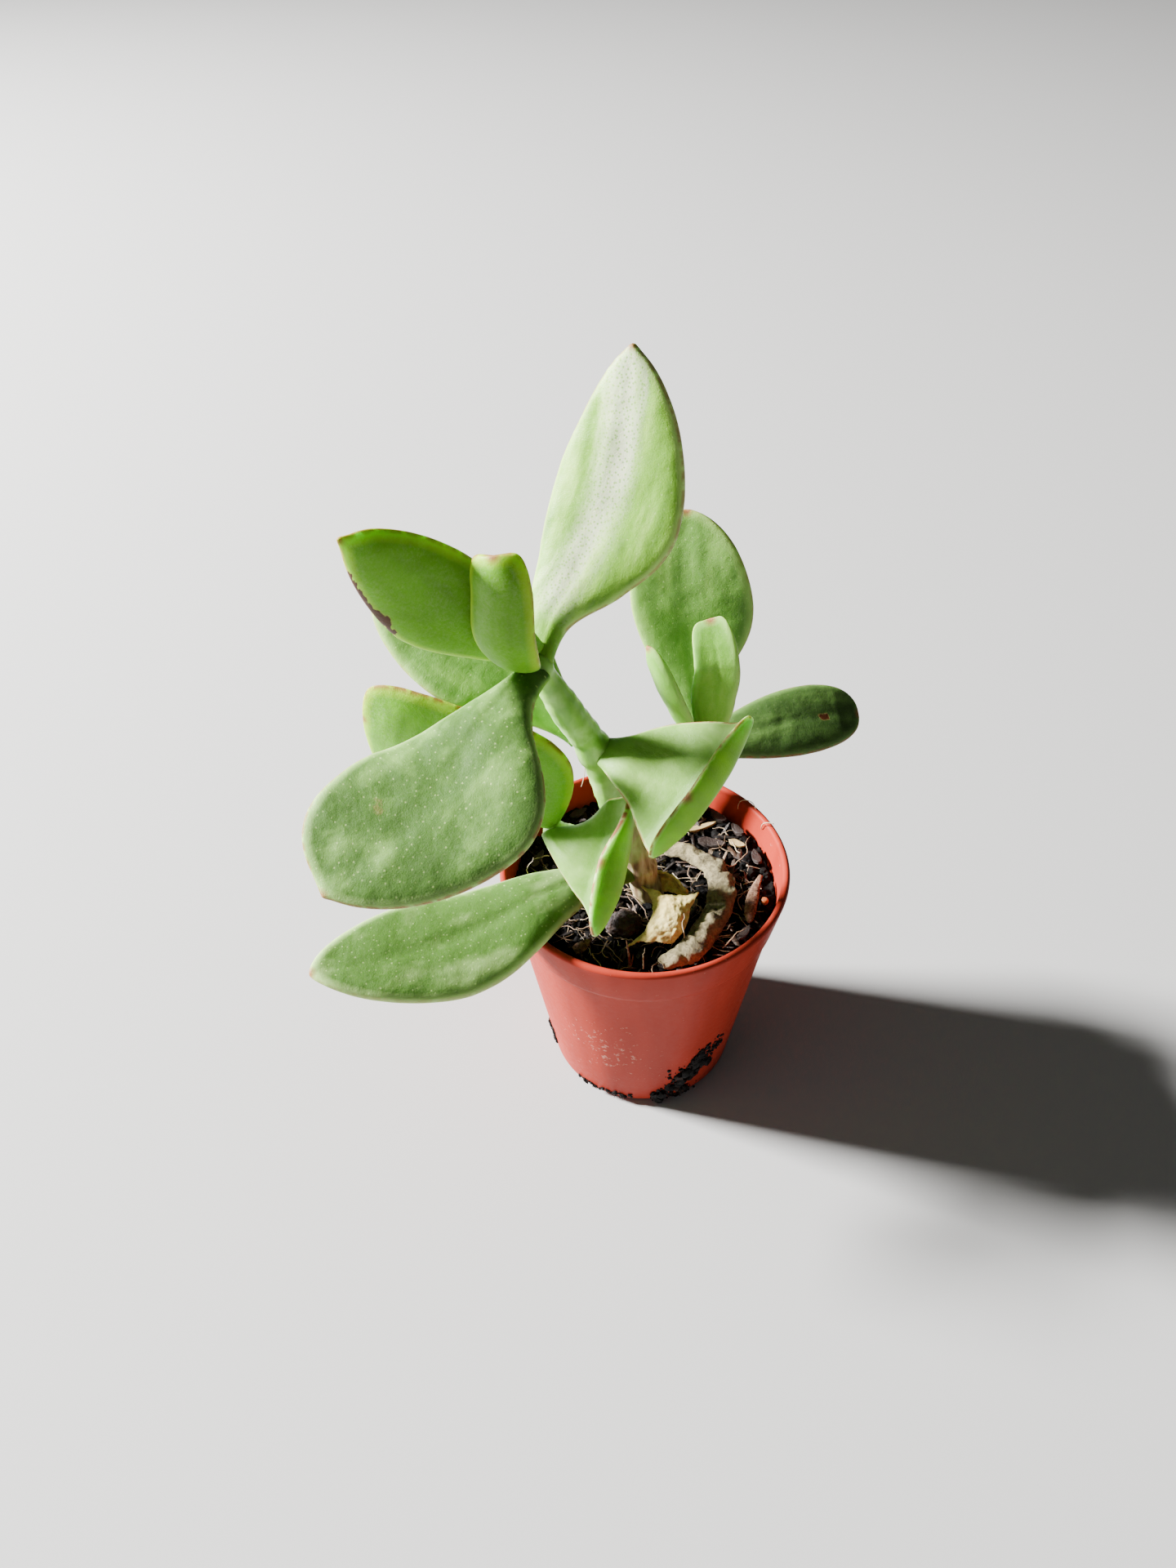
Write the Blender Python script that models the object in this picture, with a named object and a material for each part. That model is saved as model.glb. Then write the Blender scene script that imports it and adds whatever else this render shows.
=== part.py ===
"""Trumpet jade in a small nursery pot, built as separate closed solids.

Metres, +Z up. The origin is the middle of the pot's underside, and the front is along -Y.
Sizes and places in this file are in millimetres and degrees until MM turns them into metres.
"""

import math

import bmesh
import bpy
import numpy as np
from mathutils import Matrix

MM = 0.001
GAP = 0.3

POT_HEIGHT = 52.0
POT_RIM_RADIUS = 27.5
POT_BASE_RADIUS = 18.6
POT_WALL = 0.9
POT_FLOOR = 1.1
POT_CORNER = 2.0
COLLAR_FOOT = 43.2
COLLAR_RADIUS = 25.9
BODY_TOP_RADIUS = 25.3
DRAIN_COUNT = 6
DRAIN_RADIUS = 2.2
DRAIN_CIRCLE = 11.5
POT_SEGMENTS = 48

SOIL_TOP = 46.0
SOIL_LUMP = 0.35
CHIP_LIFT = 0.45

STEM_SIDES = 12
LEAF_RINGS = 13
LEAF_SIDES = 14

NODE_LOW = (-1, -3, 54)
NODE_SIDE = (-17.5, -8, 70)
NODE_MIDDLE = (-9, -3, 83)
NODE_TOP = (-17.5, -6, 103)
NODE_RIGHT = (12, 14, 73)

MAIN_STEM = dict(
    points=[(2, -2, 39), NODE_LOW, (-6, -3, 72), NODE_MIDDLE, (-14, -4.5, 94), NODE_TOP, (-18, -7, 105)],
    radii=[3.0, 2.9, 2.6, 2.6, 2.4, 2.3, 1.5],
)
SIDE_SHOOT = dict(points=[(-2, -3, 58), (-9, -6, 64), NODE_SIDE], radii=[1.8, 1.7, 1.6])
RIGHT_STEM = dict(points=[(7.6, 17.4, 39), (9.6, 19, 56), NODE_RIGHT], radii=[2.4, 2.2, 2.0])

LEAF_GREEN = "#7FA35C"
BACKLIT_GREEN = "#86B93A"
SHADE_GREEN = "#4F6B3F"
STEM_GREEN = "#8DB257"
POT_COLOUR = "#C65A45"
PEAT_COLOUR = "#2A1D18"
DRY_CREAM = "#CFC59B"
DRY_GREY = "#A39C80"
BARK_BROWN = "#4A342A"
STRAW = "#B39A66"
SEED_ORANGE = "#C4703C"


# Each leaf: the line of its midrib from the node to the tip, the way its upper face looks at the
# base and at the tip, the half widths left and right of the midrib as seen from above towards the
# tip, the half width of the neck, where it is widest, how late the shoulder opens, how blunt the
# end is, its thickness, how far each margin curls up, the curl of the end (angle, reach), and how
# far from the node's middle the leaf starts.
LEAVES = dict(
    leaf_top=dict(
        midrib=[NODE_TOP, (-15, -2, 107.5), (-9.5, 2, 115), (-4.5, 8, 127), (-1.5, 14, 145.5)],
        faces=[(-0.3, -0.85, 0.4), (-0.2, -0.9, 0.35)], left=9.8, right=10.5, neck=3.0,
        widest=(0.6, 0.62), shoulder=(1.0, 1.8), blunt=1.6, thick=4, cup=(15, 15), start=2.1),
    leaf_front_left=dict(
        midrib=[NODE_TOP, (-25, -17, 100), (-33.5, -27, 96.5), (-49, -38, 90)],
        faces=[(-0.1, -0.5, 0.85), (0, -0.6, 0.8)], left=15, right=13, neck=4,
        widest=(0.46, 0.66), shoulder=(1.1, 1.1), blunt=2.2, thick=4.5, cup=(10, 10), start=2.3),
    leaf_low_left=dict(
        midrib=[NODE_LOW, (-18, -12, 55.8), (-34, -21, 54.5), (-58, -30, 58)],
        faces=[(0, -0.3, 0.95), (0, -0.3, 0.95)], left=10, right=9.5, neck=2.4,
        widest=(0.55, 0.6), shoulder=(1.5, 1.5), blunt=1.7, thick=4.5, cup=(15, 15), start=3.6),
    leaf_upper_left=dict(
        midrib=[(-18.5, -5.5, 105.5), (-27.5, -9.5, 115.5), (-34, -12, 122), (-43, -15, 132)],
        faces=[(-0.3, 0.9, 0.1), (-0.35, 0.9, 0)], left=8.3, right=8, neck=2.6,
        widest=(0.5, 0.5), shoulder=(1.2, 1.2), blunt=1.5, thick=3, cup=(25, 25), start=0.8),
    leaf_back_left=dict(
        midrib=[NODE_MIDDLE, (-21, 4, 90), (-29.5, 10, 96), (-48.5, 18, 106.5)],
        faces=[(0.2, -0.6, 0.75), (0.2, -0.6, 0.75)], left=12, right=12, neck=3.0,
        widest=(0.6, 0.6), shoulder=(1.3, 1.3), blunt=1.9, thick=4, cup=(15, 15), start=4.2),
    leaf_young_top=dict(
        midrib=[(-19.0, -9.6, 104.3), (-22.2, -14.0, 114), (-22.2, -15.0, 121), (-21.6, -13.4, 127.2)],
        faces=[(0.3, 0.95, 0.2), (0.3, 0.95, 0)], left=5, right=5, neck=3.2,
        widest=(0.5, 0.5), shoulder=(0.8, 0.8), blunt=4.0, thick=2.3, cup=(50, 50), start=0.6),
    leaf_side_back=dict(
        midrib=[NODE_SIDE, (-20, -8, 81.5), (-28.5, -8, 90), (-46, -5, 94)],
        faces=[(0.4, 0.8, 0.2), (-0.3, 0.9, 0.2)], left=8, right=11, neck=2.4,
        widest=(0.6, 0.6), shoulder=(1.3, 1.3), blunt=3.4, thick=3, cup=(20, 20), start=1.6),
    leaf_right_trumpet=dict(
        midrib=[NODE_MIDDLE, (-3.5, -8, 84.3), (1.8, -11, 84.2), (5.8, -14.2, 84)],
        faces=[(-0.1, -0.5, 0.85), (-0.37, -0.53, 0.75)], left=16, right=13.2, neck=2.8,
        widest=(0.85, 0.85), shoulder=(1.7, 1.7), blunt=4, thick=3, cup=(10, 10), start=2.8, curl=(112, 11)),
    leaf_side_trumpet=dict(
        midrib=[NODE_SIDE, (-15, -14.2, 68.8), (-9.6, -17.8, 68.3)],
        faces=[(-0.1, -0.4, 0.9), (-0.2, -0.6, 0.77)], left=13, right=11.5, neck=2.4,
        widest=(0.8, 0.8), shoulder=(1.2, 1.6), blunt=2.6, thick=3, cup=(10, 10), start=2.75, curl=(130, 9)),
    leaf_back_right=dict(
        midrib=[NODE_RIGHT, (10.5, 17, 84.5), (9, 19, 97.5), (8.5, 22, 114.5)],
        faces=[(-0.1, -0.95, 0.3), (-0.1, -0.95, 0.3)], left=10.3, right=10.8, neck=2.8,
        widest=(0.6, 0.6), shoulder=(1.1, 1.1), blunt=2.2, thick=3.5, cup=(15, 15), start=1.7),
    leaf_young_right=dict(
        midrib=[(12.6, 12.0, 72.2), (13, 9, 84), (12.5, 8, 92.5), (11, 10, 99.5)],
        faces=[(-0.2, 0.95, 0.2), (-0.2, 0.95, 0)], left=5.2, right=5.2, neck=2.0,
        widest=(0.4, 0.4), shoulder=(0.8, 0.8), blunt=3.0, thick=2, cup=(80, 80), start=1.0),
    leaf_young_left=dict(
        midrib=[(9.7, 13.2, 72.2), (6, 10, 80.5), (3, 9, 87.5), (0.5, 10, 95)],
        faces=[(0.9, 0.4, 0.1), (0.9, 0.4, 0.1)], left=4.5, right=4.5, neck=2.0,
        widest=(0.5, 0.5), shoulder=(1.0, 1.0), blunt=2.5, thick=2, cup=(50, 50), start=1.0),
    leaf_far_right=dict(
        midrib=[(11.5, 16, 66), (21.5, 20, 66), (30, 23, 66.5), (44, 26, 65)],
        faces=[(0, -0.5, 0.85), (0, -0.5, 0.85)], left=6.7, right=6.7, neck=2.4,
        widest=(0.6, 0.6), shoulder=(1.0, 1.0), blunt=2.3, thick=3.5, cup=(10, 10), start=2.2),
)
LEAF_COLOURS = dict(
    leaf_upper_left=BACKLIT_GREEN, leaf_young_top=BACKLIT_GREEN, leaf_side_back=BACKLIT_GREEN,
    leaf_young_right=BACKLIT_GREEN, leaf_young_left=BACKLIT_GREEN, leaf_far_right=SHADE_GREEN,
)

# Dead leaves and a bud scale that lie on the compost, in the same terms as the leaves.
DRY_PIECES = dict(
    dry_leaf_cream=dict(
        midrib=[(5.6, -6.2, 50.6), (4.8, -10, 50.4), (3.2, -13.4, 49.4), (0.6, -15.8, 48.2), (-3.6, -17, 46.9)],
        faces=[(-0.2, -0.1, 1), (0.1, -0.2, 1)], left=4.2, right=4.2, neck=3.4,
        widest=(0.35, 0.35), shoulder=(1.0, 1.0), blunt=1.2, thick=1.2, cup=(-45, -35)),
    dry_leaf_grey=dict(
        midrib=[(4.6, 7.9, 47.6), (10.1, 5.5, 48), (14.4, 1.1, 48.2), (15.8, -7, 48.2), (13.2, -14.3, 48.2),
                (8.6, -19, 48), (1.4, -20.6, 47.8)],
        faces=[(0, 0, 1), (0, 0, 1)], left=2.7, right=2.7, neck=1.6,
        widest=(0.5, 0.5), shoulder=(0.8, 0.8), blunt=3.0, thick=1.4, cup=(-50, -50)),
    bud_scale=dict(
        midrib=[(22.6, 0.3, 47.0), (21.2, -3, 47.6), (19.8, -7.2, 47.6), (18.9, -11.6, 46.9)],
        faces=[(0, 0, 1), (0, 0, 1)], left=1.0, right=1.0, neck=0.6,
        widest=(0.7, 0.7), shoulder=(1.0, 1.0), blunt=2.0, thick=0.8, cup=(-30, -30)),
    brown_leaf_tip=dict(
        midrib=[(-13.6, -17.0, 46.9), (-12, -16.2, 47.4), (-10.3, -15, 47.8)],
        faces=[(0, -0.4, 1), (0, -0.4, 1)], left=1.0, right=1.0, neck=0.9,
        widest=(0.3, 0.3), shoulder=(1.0, 1.0), blunt=1.3, thick=0.7, cup=(-20, -20)),
)
DRY_COLOURS = dict(
    dry_leaf_cream=DRY_CREAM, dry_leaf_grey=DRY_GREY, bud_scale=BARK_BROWN, brown_leaf_tip=BARK_BROWN)

# Flat bits of bark and straw: middle, heading, length, width and thickness.
CHIPS = dict(
    straw_stick=((12.2, 14.2), 20, 6.5, 1.3, 0.8),
    straw_chip=((19.0, 9.6), -30, 3.2, 1.7, 0.7),
    bark_chip_1=((14.0, 9.8), -15, 5.4, 2.4, 1.1),
    bark_chip_2=((19.4, 12.9), 122, 3.4, 1.8, 1.0),
    bark_chip_3=((16.0, 16.6), 135, 3.8, 2.0, 1.2),
    bark_chip_4=((22.3, 5.4), 104, 3.4, 1.8, 0.9),
    bark_chip_5=((17.6, -14.2), 51, 3.6, 1.6, 0.8),
    bark_chip_6=((-20.6, 6.2), 60, 4.4, 1.6, 0.8),
    bark_chip_7=((-12.4, 19.2), 33, 3.8, 1.6, 0.9),
)
CHIP_COLOURS = dict(straw_stick=STRAW, straw_chip=STRAW)

# Wet peat on the outside of the pot: points as (degrees round the pot, height), half width, thickness.
PEAT_SMEARS = dict(
    peat_smear_right=([(-46, 16.5), (-55, 14.5), (-63, 9.5), (-72, 5.0), (-79, 3.4)], 2.1, 1.2),
    peat_smear_left=([(197, 11), (199, 7.5), (197, 4.2)], 0.9, 0.9),
    peat_smear_front=([(-134, 2.0), (-120, 1.9), (-106, 2.2), (-98, 2.1)], 0.7, 0.7),
)


def unit(vectors):
    vectors = np.asarray(vectors, float)
    return vectors / np.linalg.norm(vectors, axis=-1, keepdims=True)


def curve_through(points, t):
    """Points at t (0 to 1) on one smooth curve through the given points."""
    p = np.asarray(points, float)
    gaps = np.linalg.norm(np.diff(p, axis=0), axis=1)
    knots = np.concatenate([[0], np.cumsum(gaps)]) / gaps.sum()
    steps = np.diff(p, axis=0) / np.diff(knots)[:, None]
    before = np.diff(knots)[:-1, None]
    after = np.diff(knots)[1:, None]
    slopes = np.zeros_like(p)
    slopes[1:-1] = (steps[:-1] * after + steps[1:] * before) / (before + after)
    slopes[0] = 2 * steps[0] - slopes[1]
    slopes[-1] = 2 * steps[-1] - slopes[-2]
    k = np.clip(np.searchsorted(knots, t, side="right") - 1, 0, len(p) - 2)
    span = (knots[k + 1] - knots[k])[:, None]
    x = (np.asarray(t) - knots[k])[:, None] / span
    start = (2 * x**3 - 3 * x**2 + 1) * p[k] + (x**3 - 2 * x**2 + x) * span * slopes[k]
    end = (3 * x**2 - 2 * x**3) * p[k + 1] + (x**3 - x**2) * span * slopes[k + 1]
    return start + end


def tangent_along(points, t):
    step = 0.001
    ahead = curve_through(points, np.clip(t + step, 0, 1))
    behind = curve_through(points, np.clip(t - step, 0, 1))
    return unit(ahead - behind)


def half_width(leaf, s, side):
    """Share of the half width at s along the leaf: narrow neck, broad blade, rounded end."""
    neck = leaf["neck"] / max(leaf["left"], leaf["right"])
    widest = leaf["widest"][side]
    opening = np.sin(0.5 * np.pi * np.clip(s / widest, 0, 1)) ** leaf["shoulder"][side]
    closing = np.clip((s - widest) / (1 - widest), 0, 1) ** leaf["blunt"]
    return np.where(s < widest, neck + (1 - neck) * opening, (1 - closing) ** (1 / leaf["blunt"]))


def leaf_midline(leaf, s):
    """Place, heading and upper face direction at s along the leaf, with the curled end."""
    rib = [np.array(point, float) for point in leaf["midrib"]]
    rib[0] = rib[0] + unit(rib[1] - rib[0]) * leaf.get("start", 0)
    t = np.linspace(0, 1, 161)
    steps = np.linalg.norm(np.diff(curve_through(rib, t), axis=0), axis=1)
    run = np.concatenate([[0], np.cumsum(steps)])
    curl, reach = leaf.get("curl", (0, 0))
    distance = s * (run[-1] + reach)
    on_rib = np.minimum(distance, run[-1])
    place = curve_through(rib, np.interp(on_rib, run, t))
    heading = tangent_along(rib, np.interp(on_rib, run, t))
    mix = (on_rib / run[-1])[:, None]
    face = unit(leaf["faces"][0]) * (1 - mix) + unit(leaf["faces"][1]) * mix
    face = unit(face - (face * heading).sum(1)[:, None] * heading)
    if reach:
        angle = math.radians(curl) * (np.maximum(distance - run[-1], 0) / reach)[:, None]
        radius = reach / math.radians(curl)
        place = place + radius * (np.sin(angle) * heading + (1 - np.cos(angle)) * face)
        heading, face = (np.cos(angle) * heading + np.sin(angle) * face,
                         np.cos(angle) * face - np.sin(angle) * heading)
    return place, heading, face


def leaf_rings(leaf, rings=LEAF_RINGS, sides=LEAF_SIDES):
    """Closed sections of a leaf from the neck to the tip, as an array of points."""
    s = 1 - (1 - np.linspace(0, 1, rings)) ** 1.35
    s[-1] = 0.997
    place, heading, face = leaf_midline(leaf, s)
    right = np.cross(heading, face)
    shares = (half_width(leaf, s, 0), half_width(leaf, s, 1))
    plump = (0.55 + 0.45 * np.sin(np.pi * s**0.7)) * np.clip((1 - s) / 0.15, 0, 1) ** 0.5
    points = np.zeros((rings, sides, 3))
    for i in range(rings):
        for j in range(sides):
            turn = 2 * math.pi * j / sides
            across, through = math.cos(turn), math.sin(turn)
            side = int(across >= 0)
            width = shares[side][i] * leaf["right" if side else "left"]
            cup = math.radians(leaf["cup"][side]) * math.sqrt(s[i]) + 1e-4
            bend = cup * abs(across)
            out = math.copysign(1, across)
            swell = 0.8 if through > 0 else 1.2
            depth = plump[i] * leaf["thick"] / 2 * through * swell
            sideways = out * (width * math.sin(bend) / cup - depth * math.sin(bend))
            upwards = width * (1 - math.cos(bend)) / cup + depth * math.cos(bend)
            points[i, j] = place[i] + right[i] * sideways + face[i] * upwards
    return points


def stem_rings(stem, rings=14, sides=STEM_SIDES, extra=0.0):
    """Round sections along a stem, thickened by extra."""
    s = np.linspace(0, 1, rings)
    place = curve_through(stem["points"], s)
    heading = tangent_along(stem["points"], s)
    radius = np.interp(s, np.linspace(0, 1, len(stem["radii"])), stem["radii"]) + extra
    east = np.array([1.0, 0, 0])
    first = unit(east - heading[:, :1] * heading)
    second = np.cross(heading, first)
    turn = np.linspace(0, 2 * np.pi, sides, endpoint=False)
    circle = first[:, None] * np.cos(turn)[:, None] + second[:, None] * np.sin(turn)[:, None]
    return place[:, None] + radius[:, None, None] * circle


def soil_height(x, y):
    """Height of the lumpy compost surface."""
    lump = math.sin(0.42 * x + 1.1) * math.cos(0.37 * y - 0.4) + 0.6 * math.sin(0.9 * y + 0.5 * x)
    return SOIL_TOP + SOIL_LUMP * lump


def wall_radius(z):
    """Outer radius of the pot's body at height z."""
    return POT_BASE_RADIUS + (BODY_TOP_RADIUS - POT_BASE_RADIUS) * z / COLLAR_FOOT


def inner_radius(z):
    """Inner radius of the pot at height z."""
    if z < COLLAR_FOOT - POT_WALL:
        return wall_radius(z) - POT_WALL
    top = POT_RIM_RADIUS - POT_WALL - 0.55
    return np.interp(z, [COLLAR_FOOT - 0.2, POT_HEIGHT - 1.6], [COLLAR_RADIUS - POT_WALL, top])


def material(name, colour, roughness=0.5):
    """Plain surface with the piece's colour, given as an sRGB hex value."""
    def linear(value):
        return value / 12.92 if value <= 0.04045 else ((value + 0.055) / 1.055) ** 2.4

    made = bpy.data.materials.new(name)
    made.use_nodes = True
    shader = made.node_tree.nodes["Principled BSDF"]
    channels = [linear(int(colour[i:i + 2], 16) / 255) for i in (1, 3, 5)]
    shader.inputs["Base Color"].default_value = (*channels, 1)
    shader.inputs["Roughness"].default_value = roughness
    shader.inputs["Metallic"].default_value = 0
    return made


def finish(name, mesh_data, colour, roughness=0.5):
    """One closed object from a bmesh in millimetres, faces out, with its own material."""
    bmesh.ops.recalc_face_normals(mesh_data, faces=mesh_data.faces)
    bmesh.ops.scale(mesh_data, vec=(MM, MM, MM), verts=mesh_data.verts)
    mesh = bpy.data.meshes.new(name)
    mesh_data.to_mesh(mesh)
    mesh_data.free()
    mesh.shade_smooth()
    mesh.set_sharp_from_angle(angle=math.radians(40))
    piece = bpy.data.objects.new(name, mesh)
    bpy.context.scene.collection.objects.link(piece)
    mesh.materials.append(material(name + "_surface", colour, roughness))
    return piece


def loft(rings):
    """Closed tube through rings of points."""
    made = bmesh.new()
    loops = [[made.verts.new(point) for point in ring] for ring in rings]
    count = len(loops[0])
    for lower, upper in zip(loops, loops[1:]):
        for j in range(count):
            after = (j + 1) % count
            made.faces.new((lower[j], lower[after], upper[after], upper[j]))
    made.faces.new(loops[0])
    made.faces.new(loops[-1])
    return made


def turned(profile, segments):
    """Body turned about Z from (radius, height) points that start and end on the axis."""
    made = bmesh.new()
    loops = []
    for radius, height in profile:
        turns = [2 * math.pi * k / segments for k in range(segments)] if radius else [0]
        loops.append([made.verts.new((radius * math.cos(a), radius * math.sin(a), height)) for a in turns])
    for low, high in zip(loops, loops[1:]):
        for k in range(segments):
            corners = [low[k % len(low)], low[(k + 1) % len(low)], high[(k + 1) % len(high)], high[k % len(high)]]
            made.faces.new(list(dict.fromkeys(corners)))
    return made


def arc(middle, radius, first, last, count):
    """Points of an arc in the (radius, height) plane."""
    steps = np.radians(np.linspace(first, last, count))
    return [(middle[0] + radius * math.cos(a), middle[1] + radius * math.sin(a)) for a in steps]


def cut_with(piece, cutters, operation):
    """Booleans that cut or join hidden helper bodies."""
    for cutter in cutters:
        cutter.hide_render = True
        cutter.display_type = "WIRE"
        change = piece.modifiers.new(cutter.name, "BOOLEAN")
        change.operation = operation
        change.object = cutter


def make_pot():
    lip = (POT_RIM_RADIUS - 0.72, POT_HEIGHT - 0.7)
    corner = (POT_BASE_RADIUS - POT_CORNER + 0.3, POT_CORNER)
    profile = [(0, 0), *arc(corner, POT_CORNER, -90, -15, 4)]
    profile += [(BODY_TOP_RADIUS, COLLAR_FOOT - 0.5), (COLLAR_RADIUS, COLLAR_FOOT)]
    profile += arc(lip, 0.72, -10, 190, 7)
    profile += [(inner_radius(POT_HEIGHT - 1.6), POT_HEIGHT - 1.6)]
    profile += [(COLLAR_RADIUS - POT_WALL, COLLAR_FOOT - 0.2), (inner_radius(COLLAR_FOOT - 1.1), COLLAR_FOOT - 1.1)]
    profile += [(inner_radius(2.4), 2.4), (POT_BASE_RADIUS - 2.1, POT_FLOOR), (0, POT_FLOOR)]
    pot = finish("pot", turned(profile, POT_SEGMENTS), POT_COLOUR, 0.42)
    holes = bmesh.new()
    for k in range(DRAIN_COUNT):
        turn = 2 * math.pi * (k + 0.5) / DRAIN_COUNT
        made = bmesh.ops.create_cone(holes, cap_ends=True, segments=12, radius1=DRAIN_RADIUS,
                                     radius2=DRAIN_RADIUS, depth=4)["verts"]
        place = (DRAIN_CIRCLE * math.cos(turn), DRAIN_CIRCLE * math.sin(turn), POT_FLOOR / 2)
        bmesh.ops.translate(holes, vec=place, verts=made)
    cut_with(pot, [finish("drain_cutter", holes, POT_COLOUR)], "DIFFERENCE")


def make_compost():
    made = bmesh.new()
    segments = 32
    top_radius = inner_radius(SOIL_TOP) - GAP - 0.1
    loops = [[made.verts.new((0, 0, soil_height(0, 0)))]]
    rings = [(top_radius * share, None) for share in (0.2, 0.4, 0.6, 0.8, 1.0)]
    rings += [(inner_radius(z) - GAP - 0.1, z) for z in (COLLAR_FOOT, COLLAR_FOOT - 1.1, 3.4)]
    rings += [(POT_BASE_RADIUS - 2.6, POT_FLOOR + 0.4)]
    for radius, height in rings:
        loop = []
        for k in range(segments):
            x = radius * math.cos(2 * math.pi * k / segments)
            y = radius * math.sin(2 * math.pi * k / segments)
            loop.append(made.verts.new((x, y, soil_height(x, y) if height is None else height)))
        loops.append(loop)
    loops.append([made.verts.new((0, 0, POT_FLOOR + 0.4))])
    for low, high in zip(loops, loops[1:]):
        for k in range(segments):
            corners = [low[k % len(low)], low[(k + 1) % len(low)], high[(k + 1) % len(high)], high[k % len(high)]]
            made.faces.new(list(dict.fromkeys(corners)))
    compost = finish("compost", made, PEAT_COLOUR, 0.9)
    sockets = []
    for stem in (MAIN_STEM, RIGHT_STEM):
        rings = stem_rings(stem, extra=GAP)
        rings[0, :, 2] -= GAP
        sockets.append(finish("socket_cutter_" + str(len(sockets)), loft(rings), PEAT_COLOUR))
    cut_with(compost, sockets, "DIFFERENCE")


def tube_rings(ends, radii):
    """Two round sections across a straight line."""
    heading = unit(np.asarray(ends[1], float) - np.asarray(ends[0], float))
    first = unit(np.array([1.0, 0, 0]) - heading[0] * heading)
    second = np.cross(heading, first)
    turn = np.linspace(0, 2 * np.pi, STEM_SIDES, endpoint=False)
    circle = first * np.cos(turn)[:, None] + second * np.sin(turn)[:, None]
    return [np.asarray(end, float) + radius * circle for end, radius in zip(ends, radii)]


def make_stems():
    main = finish("main_stem", loft(stem_rings(MAIN_STEM)), STEM_GREEN)
    shoot = finish("side_shoot_guide", loft(stem_rings(SIDE_SHOOT, rings=6)), STEM_GREEN)
    cut_with(main, [shoot], "UNION")
    finish("right_stem", loft(stem_rings(RIGHT_STEM, rings=8)), STEM_GREEN)


def make_leaves():
    for name, leaf in LEAVES.items():
        finish(name, loft(leaf_rings(leaf)), LEAF_COLOURS.get(name, LEAF_GREEN), 0.45)
    for name, leaf in DRY_PIECES.items():
        finish(name, loft(leaf_rings(leaf, rings=10, sides=10)), DRY_COLOURS[name], 0.85)


def make_chips():
    for name, (middle, heading, length, width, thick) in CHIPS.items():
        made = bmesh.new()
        bmesh.ops.create_cube(made, size=1)
        bmesh.ops.scale(made, vec=(length, width, thick), verts=made.verts)
        bmesh.ops.bevel(made, geom=made.edges[:], offset=thick * 0.3, segments=1, affect="EDGES")
        for vertex in made.verts:
            vertex.co.y *= 1 - 0.5 * (vertex.co.x / length + 0.5)
        turn = Matrix.Rotation(math.radians(heading), 3, "Z")
        bmesh.ops.rotate(made, matrix=turn, verts=made.verts)
        ground = max(soil_height(middle[0] + v.co.x, middle[1] + v.co.y) for v in made.verts)
        place = (middle[0], middle[1], ground + CHIP_LIFT + thick / 2)
        bmesh.ops.translate(made, vec=place, verts=made.verts)
        finish(name, made, CHIP_COLOURS.get(name, BARK_BROWN), 0.85)


def make_clod():
    """Dull lump of peat on the compost in front of the stem, flat underneath."""
    middle, half = (-4.2, -10.6), (3.4, 3.0, 2.6)
    made = bmesh.new()
    bmesh.ops.create_uvsphere(made, u_segments=14, v_segments=8, radius=1)
    ground = soil_height(*middle) + 0.45
    for vertex in made.verts:
        lump = 1 + 0.08 * math.sin(5 * vertex.co.x + 2) * math.cos(4 * vertex.co.y)
        vertex.co.x = middle[0] + half[0] * lump * vertex.co.x
        vertex.co.y = middle[1] + half[1] * lump * vertex.co.y
        vertex.co.z = ground + half[2] * max(0.35 * vertex.co.z + 0.35, 0.95 * vertex.co.z)
    finish("peat_clod", made, PEAT_COLOUR, 0.9)


def make_seed():
    """Round seed that lies beside the bud scale."""
    radius = 0.75
    place = (22.4, -6.4)
    made = bmesh.new()
    bmesh.ops.create_uvsphere(made, u_segments=10, v_segments=6, radius=radius)
    bmesh.ops.translate(made, vec=(*place, soil_height(*place) + 0.4 + radius), verts=made.verts)
    finish("seed", made, SEED_ORANGE, 0.4)


def make_spike():
    """Thin dead bract that stands in front of the clod."""
    foot, tip = np.array((-3.7, -20.4, 46.5)), np.array((-4.2, -18.6, 51.4))
    rings = tube_rings([foot, foot * 0.4 + tip * 0.6, tip], [0.45, 0.35, 0.08])
    rings = [ring + np.array([0, 0, soil_height(*foot[:2]) - SOIL_TOP]) for ring in rings]
    finish("dry_spike", loft(rings), BARK_BROWN, 0.8)


def make_peat_smears():
    for name, (route, half, thick) in PEAT_SMEARS.items():
        line = []
        for degrees, height in route:
            turn = math.radians(degrees)
            radius = wall_radius(height) + GAP + 0.6 * thick
            line.append((radius * math.cos(turn), radius * math.sin(turn), height))
        s = np.linspace(0, 1, 12)
        place = curve_through(line, s)
        heading = tangent_along(line, s)
        away = unit(place * np.array([1, 1, 0]))
        away = unit(away - (away * heading).sum(1)[:, None] * heading)
        across = np.cross(heading, away)
        turn = np.linspace(0, 2 * np.pi, 10, endpoint=False)
        swell = 0.55 + 0.45 * np.sin(np.pi * s) ** 0.5 + 0.12 * np.sin(17 * s)
        rings = [place[i] + swell[i] * (half * np.cos(turn)[:, None] * across[i]
                                        + thick / 2 * np.sin(turn)[:, None] * away[i]) for i in range(len(s))]
        finish(name, loft(rings), PEAT_COLOUR, 0.9)


def main():
    for old in list(bpy.data.objects):
        bpy.data.objects.remove(old)
    make_pot()
    make_compost()
    make_stems()
    make_leaves()
    make_chips()
    make_clod()
    make_seed()
    make_spike()
    make_peat_smears()


main()
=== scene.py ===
"""Looks of a young trumpet jade in its nursery pot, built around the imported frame.

Places and sizes in this file are in millimetres and degrees until MM turns them into metres. Where a
comment says so they are in metres, as in the shaders and lights.
"""

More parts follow.
